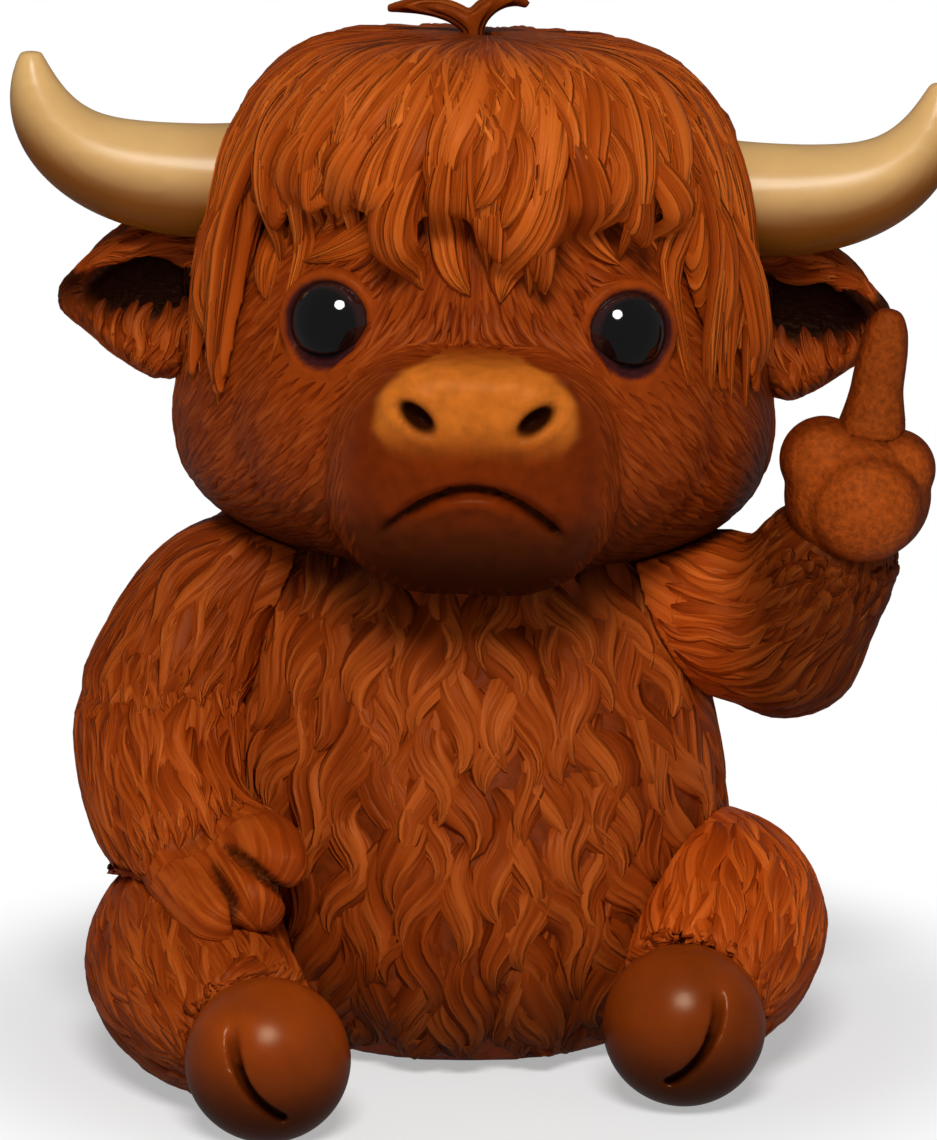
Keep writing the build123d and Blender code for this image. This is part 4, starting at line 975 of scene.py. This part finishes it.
class CALF_OT_limbs(bpy.types.Operator):
    """Soften the arms, legs and tail and comb them from the body to the end"""

    bl_idname = "calf.limbs"
    bl_label = "Arms, legs and tail"

    def carve_arm(self, skin):
        """Part the digits of the resting hand and crease the arm under its sleeve."""
        points, _ = points_of(skin)
        back, front = np.array(DIGITS)[:, 0].mean(axis=0), np.array(DIGITS)[:, 1].mean(axis=0)
        share = (points - back) @ (front - back) / ((front - back) @ (front - back))
        soften(skin, (share > WRIST_SHARES[0]) & (share < WRIST_SHARES[1]), WRIST_TURNS, "wrist")
        points, normals = points_of(skin)
        gaps, shares = [], []
        for ends in np.array(DIGITS):
            way = ends[1] - ends[0]
            share = (points - ends[0]) @ way / (way @ way)
            gaps.append(np.linalg.norm(points - ends[0] - np.clip(share, 0, 1)[:, None] * way, axis=1))
            shares.append(share)
        gaps, shares = np.array(gaps), np.array(shares)
        nearest = gaps.argmin(axis=0)
        at = np.take_along_axis(shares, nearest[None], axis=0)[0]
        near = np.sort(gaps, axis=0)
        hand = smoothstep(*HAND_REACH, near[0])
        swell = DIGIT_SWELLS[nearest] * bell(at, *SWELL_PLACE)
        groove = GROOVE_DEPTH * bell(near[1] - near[0], 0, GROOVE_WIDTH)
        rise = hand * (swell - groove * smoothstep(*GROOVE_SHARES, at))
        above = points[:, 2] - sleeve_level(points[:, 0], points[:, 1])
        rise += sum(height * bell(above, middle, spread) for height, middle, spread in SLEEVE_FOLDS)
        move_points(skin, points + normals * rise[:, None])

    def execute(self, context):
        sizes = context.scene.calf_fur
        reach, width, height = (s / MM for s in (sizes.limb_length, sizes.limb_width, sizes.limb_height))
        solids = {node: Ground(frame["nodes"][node]) for node in LIMB_NEIGHBOURS}
        for order, (node, route, whorl, pull, fine) in enumerate(LIMBS):
            rng = np.random.default_rng(SEEDS["limbs"] + order)
            resting = node == "resting_arm"
            skin = skin_of(node, "fur_smooth", voxel=0.4, inset=0.2, balls=OUTER_DIGIT if resting else ())
            if resting:
                self.carve_arm(skin)
            points, _ = points_of(skin)
            shares, turns = route_places(points, route, (0, -1, 0) if "arm" in node else (0, 0, 1))
            if node in TUCKS:
                tuck = TUCKS[node] * smoothstep(*TUCK_SHARES, shares)
                points += (np.array(route[-1]) - points) * tuck[:, None]
                move_points(skin, points)
            span = sum(math.dist(*ends) for ends in zip(route, route[1:]))
            ridge = SKIN_RIDGE + SKIN_RIDGE_WAVE * np.cos(turns * SKIN_RIDGES)
            places = [turns * SKIN_STREAKS, shares * span / reach, np.full(len(points), SKIN_TONE), ridge]
            # Painted shade: creases are darkened, on top of the limb's painted light and shade by height
            dark = RESTING_CREASE_SHADE if resting else CREASE_SHADE
            creases = 1 - dark * smoothstep(*CREASE_DEPTHS, hollows(skin, CREASE_TURNS))
            mark(skin.data, np.column_stack(places), limb_shade(node, points) * creases)
            ground = Ground(skin)
            skipped = (node, "resting_arm") if "leg" in node else (node,)
            others = [solid for name, solid in solids.items() if name not in skipped]
            along, share = along_route(route)
            whorl = Vector(whorl)

            def touches(here, clearance):
                return any(other.inside(here, -clearance) for other in others)

            def heading(here):
                return along(here) + (here - whorl).normalized() * pull

            fur = Fur(rng)
            for spot in ground.scatter(HAIR_SPACING, rng, lambda p, n: p[:, 2] > HAIR_FLOOR):
                if touches(spot, ROOT_CLEARANCE):
                    continue
                at = share(spot)
                small = 1.0 if at < fine else max(FINEST_HAIR, 1.0 - FINER_RATE * (at - fine))
                size = rng.uniform(*HAIR_SIZES) * small
                run = min(reach * size, ((RESTING_HAIR_END if resting else HAIR_END) - at) * span)
                above = spot.z - sleeve_level(spot.x, spot.y)
                if resting and above > 0:
                    run = min(run, above * SLEEVE_STRETCH + rng.uniform(*SLEEVE_OVERHANG))
                if run < HAIR_SHORTEST:
                    continue
                sway = rng.uniform(*HAIR_SWAYS) * rng.choice((-1, 1))
                phase = rng.uniform(-HAIR_PHASE, HAIR_PHASE)
                for stretch in (run, run * HAIR_CUT_BACK):
                    path, normals = ground.comb(spot, heading, stretch, HAIR_STEPS, sway, phase)
                    if not touches(path[-1], TIP_CLEARANCE):
                        lift = HAIR_LIFT * small
                        fur.lay(path, normals, width * size, height * size, lift, columns=7, strands=1.5)
                        break
            fur.piece(node + "_fur", "fur_limb", lambda corners: limb_shade(node, corners))
        return {"FINISHED"}


class CALF_OT_hand(bpy.types.Operator):
    """Soften the fist and the raised finger and give them a rough stippled paint"""

    bl_idname = "calf.hand"
    bl_label = "Fist and finger"

    def execute(self, context):
        paint = context.scene.calf_paint
        for node in ("raised_hand", "raised_finger"):
            skin = skin_of(node, "rough_skin", voxel=0.35)
            points, normals = points_of(skin)
            if node == "raised_finger":
                root = points[points[:, 2].argmin()]
                flare = smoothstep(FLARE_HEIGHT, 0.0, points[:, 2] - root[2])
                middle = points[flare > 0.5].mean(axis=0)
                points += (points - middle) * (flare * FLARE_WIDENING)[:, None] * (1, 1, 0)
                points[:, 2] -= flare * FLARE_DROP
                move_points(skin, points)
            # Painted light: the front-facing side of the fist and the finger is painted lighter
            colours = flood(points, np.array(paint.fur_mid) * HAND_SHADE)
            light = np.array(paint.fur_mid) * HAND_PAINTED_LIGHT * (FINGER_SHADE if node == "raised_finger" else 1.0)
            coat(skin, blend(colours, smoothstep(*HAND_FACING, normals[:, 1]), light))
        return {"FINISHED"}


class CALF_OT_head(bpy.types.Operator):
    """Carve the muzzle, mouth, nostrils and lids, and comb the cheeks and the mane"""

    bl_idname = "calf.head"
    bl_label = "Head"

    def execute(self, context):
        sizes, paint = context.scene.calf_fur, context.scene.calf_paint
        skin = skin_of("head", "face", voxel=0.405, turns=3)
        points, normals = points_of(skin)
        x, y, z = upright(points).T
        front = smoothstep(*MUZZLE_FRONT, y)
        droop = MOUTH_LEVEL - MOUTH_DROOP * (x / MOUTH_HALF) ** 2
        above = (z - droop) / np.hypot(1, 2 * MOUTH_DROOP * x / MOUTH_HALF**2)
        mouth = front * smoothstep(*(MOUTH_HALF + fade for fade in MOUTH_FADE), np.abs(x))
        lids = np.minimum(eye_gap(points, "left_eye"), eye_gap(points, "right_eye"))

        soften(skin, mouth * bell(above, 0, MOUTH_REACH) > MOUTH_SHARE, MOUTH_TURNS, "near_mouth")
        around = front * smoothstep(*SEAM_HALVES, np.abs(x)) < 0.5
        soften(skin, around & (lids > SEAM_LID_GAP), SEAM_TURNS, "seam")
        points, normals = points_of(skin)

        aside, up = np.abs(x) - NOSTRIL_PLACE[0], z - NOSTRIL_PLACE[1]
        cosine, sine = math.cos(NOSTRIL_SLANT), math.sin(NOSTRIL_SLANT)
        along, over = (aside * cosine + up * sine, up * cosine - aside * sine)
        nostril = np.where(front > 0.5, np.hypot(along / NOSTRIL_HALVES[0], over / NOSTRIL_HALVES[1]), FAR)
        pad_half = np.interp(z, NOSE_LEVELS, NOSE_HALVES)
        pad = front * smoothstep(*NOSE_SIDES, pad_half - np.abs(x))
        pad = pad * smoothstep(*NOSE_BELOW, z) * smoothstep(*NOSE_ABOVE, z)
        line = bell(above, *MOUTH_LINE[1:])
        rise = mouth * (MOUTH_LINE[0] * line + UPPER_LIP[0] * bell(above, *UPPER_LIP[1:]))
        rise += mouth * LOWER_LIP[0] * bell(above, *LOWER_LIP[1:]) * smoothstep(*LOWER_LIP_ENDS, np.abs(x))
        rise += NOSTRIL_RIM[0] * bell(nostril, *NOSTRIL_RIM[1:]) + NOSE_RISE * pad
        rise += LID_RIM[0] * bell(lids, *LID_RIM[1:])
        move_points(skin, points + normals * rise[:, None])

        # Painted shade: the chin below the mouth and the throat are darkened with the chin colour
        chin = np.array(paint.chin)
        colours = flood(points, paint.fur_mid)
        for mask, value in (
            (front * smoothstep(*MUZZLE_EDGE, muzzle_ring(x, z, *MUZZLE_PAINT)), paint.muzzle),
            (pad, paint.nose),
            (front * smoothstep(*CHIN_LEVELS, z) * CHIN_SHADE_COVER, chin),
            (smoothstep(*THROAT_LEVELS, z), chin * THROAT_SHADE),
            (mouth * line, chin * LINE_SHADE),
            (smoothstep(*NOSTRIL_EDGE, nostril), chin * LINE_SHADE),
            (smoothstep(*LID_EDGE, lids), paint.lid),
            (smoothstep(*SOCKET_EDGE, lids), paint.eye),
        ):
            colours = blend(colours, mask, value)
        coat(skin, colours)

        for node in ("left_eye", "right_eye"):
            bead = skin_of(node, "eye", voxel=0.22, turns=4, inset=-EYE_SWELL)
            spots, _ = points_of(bead)
            iris = smoothstep(*IRIS_EDGE, eye_gap(spots, node))
            coat(bead, blend(flood(spots, paint.eye), iris, paint.iris))

        ground = Ground(skin)
        rng = np.random.default_rng(SEEDS["head"])

        def cheek(spots, ways):
            px, py, pz = upright(spots).T
            gap = np.minimum(eye_gap(spots, "left_eye"), eye_gap(spots, "right_eye"))
            bare = (muzzle_ring(px, pz, *MUZZLE_BARE) < 1) & (py < BARE_DEPTH)
            return (py < CHEEK_BACK) & (gap > CHEEK_LID_GAP) & ~bare & (pz < CHEEK_TOP) & (pz > CHEEK_BOTTOM)

        def nape(spots, ways):
            return (spots[:, 1] > 0.0) & (spots[:, 2] < MANE_TOP) & (spots[:, 2] > MANE_BOTTOM)

        def outward(spot):
            return Vector((spot.x * CHEEK_SPREAD, *CHEEK_WAY))

        def backward(spot):
            return Vector(MANE_WAY)

        def cheek_shade(spots):
            return CHEEK_DARK + (1 - CHEEK_DARK) * smoothstep(*CHEEK_LEVELS, spots[:, 2])

        fine = Fur(rng)
        reach, width = sizes.face_length / MM, sizes.face_width / MM
        for spot in ground.scatter(CHEEK_SPACING, rng, cheek):
            size = rng.uniform(*CHEEK_SIZES)
            sway = rng.uniform(-CHEEK_SWAY, CHEEK_SWAY)
            path, ups = ground.comb(spot, outward, reach * size, CHEEK_STEPS, sway, 0.0)
            fine.lay(path, ups, width * size, CHEEK_RELIEF * size, CHEEK_LIFT, columns=5, strands=0.5)
        fine.piece("cheek_fur", "fur_fine", cheek_shade)

        mane = Fur(rng)
        for spot in ground.scatter(MANE_SPACING, rng, nape):
            size = rng.uniform(*MANE_SIZES)
            sway = rng.uniform(*MANE_SWAYS) * rng.choice((-1, 1))
            phase = rng.uniform(-MANE_PHASE, MANE_PHASE)
            path, ups = ground.comb(spot, backward, MANE_LENGTH * size, MANE_STEPS, sway, phase)
            mane.lay(path, ups, MANE_WIDTH * size, MANE_RELIEF * size, MANE_LIFT)
        mane.piece("mane", "fur_body")
        return {"FINISHED"}


class CALF_OT_forelock(bpy.types.Operator):
    """Comb the fringe from the crown over the brow in layers"""

    bl_idname = "calf.forelock"
    bl_label = "Forelock"

    def execute(self, context):
        sizes = context.scene.calf_fur
        rng = np.random.default_rng(SEEDS["hair"])
        cap = skin_of("forelock", "fur_fringe", voxel=0.5, turns=6, inset=0.25)
        x, y, z = upright(points_of(cap)[0]).T
        turn = np.arctan2(x, -y - HAIR_FORWARD)
        fall = np.arctan2(np.hypot(x, y + HAIR_FORWARD), z - HAIR_LEVEL)
        ridge = CAP_RIDGE + CAP_RIDGE_WAVE * np.cos(turn * CAP_RIDGES)
        places = [turn * CAP_STREAKS, fall / CAP_FALL, np.full(len(x), CAP_TONE), ridge]
        mark(cap.data, np.column_stack(places), np.ones(len(x)))
        tuft = skin_of("crown_tuft", "fur_fringe", voxel=0.2, turns=4)
        points, normals = points_of(tuft)
        across, along = points[:, 1] * TUFT_STREAKS, np.abs(points[:, 0]) / TUFT_LENGTH
        # Painted light: the ridge rises on faces that point up; painted shade darkens the whole tuft
        places = [across, along, np.full(len(points), TUFT_TONE), TUFT_RIDGE + TUFT_SLOPE * normals[:, 2]]
        mark(tuft.data, np.column_stack(places), np.full(len(points), TUFT_SHADE))
        move_points(tuft, points - (TUFT_SHIFT, 0, 0))
        covers = [Ground(cap), Ground(frame["nodes"]["head"])]
        turned = LEAN.to_3x3()

        def nearest_cover(spot, up):
            """The outermost spot of the hair or the brow along a line, or the spot itself."""
            gaps = [cover.tree.ray_cast(spot + up * SEARCH_HEIGHT, -up, SEARCH_DEPTH)[3] for cover in covers]
            gap = min((g for g in gaps if g is not None), default=SEARCH_HEIGHT)
            return spot + up * (SEARCH_HEIGHT - gap), up

        def hair_point(turn, fall):
            """A spot on the hair or the brow, by the turn from the front and the fall from the crown."""
            ring = abs(math.sin(fall)) ** (2 / HAIR_SQUARENESS)
            above = math.copysign(abs(math.cos(fall)) ** (2 / HAIR_SQUARENESS), math.cos(fall))
            out = Vector((HAIR_WIDTH / 2 * ring * math.sin(turn), -HAIR_DEPTH / 2 * ring * math.cos(turn), 0))
            up = Vector((out.x / HAIR_WIDTH, out.y / HAIR_DEPTH, CROWN_STEEPNESS * above)).normalized()
            spot = LEAN @ (out + Vector((0, -HAIR_FORWARD, HAIR_LEVEL + above * HAIR_HEIGHT)))
            return nearest_cover(spot, turned @ up)

        def lay(fur, spots, broad, tall, lift, columns):
            """One lock of the hair through spots and their normals."""
            path, ups = zip(*spots)
            grooves = broad * STRAND_GROOVES
            fur.lay(even(even(path)), even(ups), broad, tall, lift, columns, FRINGE_WIDTHS, grooves)

        def strand(turn, start, end, broad, tall, sway, phase):
            spots = []
            for share in np.linspace(0, 1, STRAND_STEPS):
                bend = turn + sway * math.sin(math.tau * share * STRAND_WAVES + phase) * share
                spots.append(hair_point(bend, math.radians(start + (end - start) * share)))
            lay(strands, spots, broad, tall, STRAND_LIFT, STRAND_COLUMNS)

        width, height = sizes.fringe_width / MM, sizes.fringe_height / MM
        strands = Fur(rng)
        for turn, end in LOCK_FALLS:
            broad, tall = width * LOCK_BREADTH, height * LOCK_RELIEF
            strand(math.radians(turn), LOCK_START, end, broad, tall, LOCK_SWAY, 0.0)
        for layer, (count, wide, first) in enumerate(HAIR_LAYERS):
            for k in range(count):
                turn = math.tau * (k + 0.5 * layer + rng.uniform(-LAYER_SHUFFLE, LAYER_SHUFFLE)) / count
                side = abs(math.sin(turn)) if math.cos(turn) > 0 else 1.0
                end = LAYER_FALL + LAYER_SIDE_FALL * side**4 - LAYER_STEP * layer
                end -= rng.uniform(0, LAYER_SPREAD)
                broad = width * wide * rng.uniform(*LAYER_BREADTHS)
                tall = height * rng.uniform(*LAYER_RELIEFS)
                sway = rng.uniform(*LAYER_SWAYS) * rng.choice((-1, 1))
                start = first + rng.uniform(0, LAYER_START)
                strand(turn, start, end, broad, tall, sway, rng.uniform(-LAYER_PHASE, LAYER_PHASE))

        for turn in range(TEMPLE_FIRST, TEMPLE_LAST, TEMPLE_STEP):
            for side in (-1, 1):
                broad, sway = rng.uniform(*TEMPLE_WIDTHS), rng.uniform(*TEMPLE_SWAYS) * rng.choice((-1, 1))
                back = (turn - TEMPLE_FIRST) / (TEMPLE_LAST - TEMPLE_FIRST)
                end = TEMPLE_FALL + TEMPLE_BACK_FALL * back + rng.uniform(*TEMPLE_SPREAD)
                start = rng.uniform(*TEMPLE_STARTS)
                strand(math.radians(side * turn), start, end, broad, height * TEMPLE_RELIEF, sway, 0.0)

        # Each lock of the fringe follows a cubic through its four places
        fringe = Fur(rng)
        stops, shares = np.linspace(0, 1, 4), np.linspace(0, 1, STRAND_STEPS)
        for broad, *places in FRINGE_LOCKS:
            curves = [np.polyval(np.polyfit(stops, values, 3), shares) for values in zip(*places)]
            spots = []
            for x, z in zip(*curves):
                turn = math.asin(max(-WIDEST_SINE, min(WIDEST_SINE, x / HAIR_RADIUS)))
                way = Vector((math.sin(turn), -math.cos(turn), 0))
                spots.append(nearest_cover(Vector((0, -HAIR_FORWARD, z)) + way * FRINGE_INSIDE, way))
            lay(fringe, spots, broad, height, FRINGE_LIFT, FRINGE_COLUMNS)

        strands.piece("hair", "fur_fringe")
        fringe.piece("fringe", "fur_fringe")
        return {"FINISHED"}


class CALF_OT_ears(bpy.types.Operator):
    """Soften the cupped ears, darken the cup and hang hair on the rim"""

    bl_idname = "calf.ears"
    bl_label = "Ears"

    def execute(self, context):
        paint = context.scene.calf_paint
        for order, (node, side) in enumerate((("left_ear", -1), ("right_ear", 1))):
            rng = np.random.default_rng(SEEDS["ears"] + order)
            skin = skin_of(node, "rough_skin", voxel=0.35, turns=4)
            points, normals = points_of(skin)
            x, _, z = upright(points).T
            points[:, 2] += np.maximum(LOBE_LEVEL - z, 0) * LOBE_LIFT * smoothstep(*LOBE_REACH, x * side)
            move_points(skin, points)

            def cup_gap(spots, middle, halves):
                """1 on an oval round the cup, less inside it."""
                px, _, pz = upright(spots).T
                return np.hypot((px * side - middle[0]) / halves[0], (pz - middle[1]) / halves[1])

            facing = smoothstep(*CUP_FACING, normals[:, 1])
            cup = facing * smoothstep(*CUP_EDGE, cup_gap(points, *CUP_PAINT))
            colours = flood(points, np.array(paint.fur_mid) * EAR_SHADE)
            coat(skin, blend(colours, cup, np.array(paint.ear_cup) * CUP_SHADE))
            ground = Ground(skin)

            def heading(spot):
                over = smoothstep(*EAR_TURN, spot.z)
                return Vector((side * (EAR_HANG + (1 - EAR_HANG) * over), -EAR_FORWARD * over, -(1.0 - over)))

            def keep(spots, ways):
                outside = cup_gap(spots, *CUP_BARE) > 1
                return (upright(spots)[:, 0] * side > EAR_ROOT) & (outside | (ways[:, 1] > 0))

            def cup_shade(spots):
                pz = upright(spots)[:, 2]
                low = smoothstep(*RIM_LEVELS, pz) * RIM_LIGHT + RIM_DARK
                return np.where((pz < RIM_LEVEL) & (spots[:, 1] < RIM_DEPTH), low, EAR_LIGHT)

            fur = Fur(rng)
            for spot in ground.scatter(EAR_SPACING, rng, keep, EAR_OVERHEAD):
                size = rng.uniform(*EAR_SIZES)
                sway = rng.uniform(-EAR_SWAY, EAR_SWAY)
                path, ups = ground.comb(spot, heading, EAR_LENGTH * size, EAR_STEPS, sway, 0.0)
                fur.lay(path, ups, EAR_WIDTH * size, EAR_RELIEF * size, EAR_LIFT, columns=7, strands=2.0)
            fur.piece(node + "_fur", "fur_limb", cup_shade)
        return {"FINISHED"}


class CALF_OT_horns_hooves(bpy.types.Operator):
    """Soften and paint the horns and the hooves"""

    bl_idname = "calf.horns_hooves"
    bl_label = "Horns and hooves"

    def execute(self, context):
        paint = context.scene.calf_paint
        for node in ("left_horn", "right_horn"):
            skin = skin_of(node, "horn", voxel=0.4, turns=6)
            points, normals = points_of(skin)
            # Painted shade: the downward faces and the roots of the horns are painted darker
            under = smoothstep(*HORN_UNDER_SHADE, normals[:, 2])
            root = smoothstep(*HORN_ROOT, np.abs(points[:, 0])) * HORN_ROOT_COVER
            colours = blend(flood(points, paint.horn), under, paint.horn_shade)
            coat(skin, blend(colours, root, paint.horn_shade))
        for node, share in zip(("left_hoof", "right_hoof"), HOOF_SHADES):
            skin = skin_of(node, "hoof", voxel=0.3, turns=26)
            soften(skin, points_of(skin)[0][:, 2] > HOOF_UPPER, HOOF_TURNS, "upper")
            points, _ = points_of(skin)
            # Painted shade: the lower part and the cleft are darkened, and the right hoof is painted darker
            # than the left
            dark = np.array(paint.hoof) * CLEFT_SHADE
            colours = flood(points, np.array(paint.hoof) * share)
            colours = blend(colours, smoothstep(*HOOF_LOWER, points[:, 2]) * HOOF_COVER, dark)
            coat(skin, blend(colours, smoothstep(*CLEFT_DEPTHS, hollows(skin, CLEFT_TURNS)), dark))
        return {"FINISHED"}


def seen_rays(nodes, links):
    """How far rays see the white backdrop: straight, through glass, or mirrored at a weaker share."""
    rays = nodes.new("ShaderNodeLightPath").outputs
    mirrored = add_math(nodes, links, "MULTIPLY", rays["Is Glossy Ray"], MIRRORED_SHARE)
    seen = add_math(nodes, links, "MAXIMUM", rays["Is Camera Ray"], mirrored)
    return add_math(nodes, links, "MAXIMUM", seen, rays["Is Transmission Ray"])


class CALF_OT_stage(bpy.types.Operator):
    """Pale floor, soft studio light and the camera"""

    bl_idname = "calf.stage"
    bl_label = "Stage"

    def execute(self, context):
        stage = context.scene.calf_stage
        deselect()
        bpy.ops.mesh.primitive_circle_add(vertices=96, radius=FLOOR_RADIUS, fill_type="NGON")
        floor = context.object
        floor.name = "floor"
        floor.visible_glossy = False
        nodes, links, shader = new_material("floor")
        shader.inputs["Base Color"].default_value = (FLOOR_TONE, FLOOR_TONE, FLOOR_TONE, 1)
        shader.inputs["Roughness"].default_value = FLOOR_ROUGHNESS
        shader.inputs["Specular IOR Level"].default_value = 0.0
        where = nodes.new("ShaderNodeTexCoord").outputs["Object"]
        far = nodes.new("ShaderNodeVectorMath")
        far.operation = "LENGTH"
        links.new(where, far.inputs[0])
        rim = add_range(nodes, links, far.outputs["Value"], FLOOR_RIM, FLOOR_WHITE)
        seen = seen_rays(nodes, links)
        paper = nodes.new("ShaderNodeEmission")
        paper.inputs["Strength"].default_value = 1.0
        mix = nodes.new("ShaderNodeMixShader")
        links.new(add_math(nodes, links, "MULTIPLY", seen, rim), mix.inputs["Fac"])
        links.new(shader.outputs[0], mix.inputs[1])
        links.new(paper.outputs[0], mix.inputs[2])
        links.new(mix.outputs[0], nodes["Material Output"].inputs["Surface"])
        floor.data.materials.append(finish("floor"))

        world = bpy.data.worlds.new("studio")
        context.scene.world = world
        world.use_nodes = True
        nodes, links = world.node_tree.nodes, world.node_tree.links
        paper = nodes["Background"]
        seen = seen_rays(nodes, links)
        paper.inputs["Color"].default_value = (1, 1, 1, 1)
        white = add_math(nodes, links, "MULTIPLY", seen, 1 - SURROUNDINGS)
        light = add_math(nodes, links, "ADD", white, SURROUNDINGS)
        links.new(light, paper.inputs["Strength"])

        def softbox(name, place, size, power, mirrored):
            bpy.ops.object.light_add(type="AREA", location=place)
            lamp = context.object
            lamp.name = name
            lamp.visible_glossy = mirrored
            lamp.data.shape = "DISK"
            lamp.data.size = size
            lamp.data.energy = power
            aim = Vector((0, 0, stage.aim)) - Vector(place)
            lamp.rotation_euler = aim.to_track_quat("-Z", "Y").to_euler()

        softbox("key", KEY_PLACE, KEY_SIZE, stage.key_power, True)
        for name, side in (("fill_left", -1), ("fill_right", 1)):
            place = (side * FILL_PLACE[0], *FILL_PLACE[1:])
            softbox(name, place, FILL_SIZE, stage.fill_power, False)

        away = Vector((0, -math.cos(stage.elevation), math.sin(stage.elevation))) * stage.distance
        tilt = (math.pi / 2 - stage.elevation, 0, 0)
        bpy.ops.object.camera_add(location=away + Vector((0, 0, stage.aim)), rotation=tilt)
        camera = context.object
        camera.data.lens = stage.lens
        camera.data.sensor_width = SENSOR
        camera.data.clip_start, camera.data.clip_end = CLIPPING
        context.scene.camera = camera
        context.scene.view_settings.view_transform = "Standard"
        return {"FINISHED"}


class CALF_PT_panel(bpy.types.Panel):
    """Sidebar panel of the ornament"""

    bl_idname = "CALF_PT_panel"
    bl_label = "Calf ornament"
    bl_space_type = "VIEW_3D"
    bl_region_type = "UI"
    bl_category = "Calf"

    def draw(self, context):
        for group in (context.scene.calf_fur, context.scene.calf_paint, context.scene.calf_stage):
            box = self.layout.box()
            for name in group.__annotations__:
                box.prop(group, name)
        for operator in OPERATORS:
            self.layout.operator(operator.bl_idname)


OPERATORS = (
    CALF_OT_paint,
    CALF_OT_body,
    CALF_OT_limbs,
    CALF_OT_hand,
    CALF_OT_head,
    CALF_OT_forelock,
    CALF_OT_ears,
    CALF_OT_horns_hooves,
    CALF_OT_stage,
)
CLASSES = (CALF_FurSizes, CALF_Paint, CALF_Stage, *OPERATORS, CALF_PT_panel)


def register():
    for cls in CLASSES:
        bpy.utils.register_class(cls)
    bpy.types.Scene.calf_fur = PointerProperty(type=CALF_FurSizes)
    bpy.types.Scene.calf_paint = PointerProperty(type=CALF_Paint)
    bpy.types.Scene.calf_stage = PointerProperty(type=CALF_Stage)


def unregister():
    for name in ("calf_fur", "calf_paint", "calf_stage"):
        delattr(bpy.types.Scene, name)
    for cls in reversed(CLASSES):
        bpy.utils.unregister_class(cls)


def main():
    register()
    bpy.ops.calf.paint()
    bpy.ops.calf.body()
    bpy.ops.calf.limbs()
    bpy.ops.calf.hand()
    bpy.ops.calf.head()
    bpy.ops.calf.forelock()
    bpy.ops.calf.ears()
    bpy.ops.calf.horns_hooves()
    bpy.ops.calf.stage()


if __name__ == "__main__":
    main()
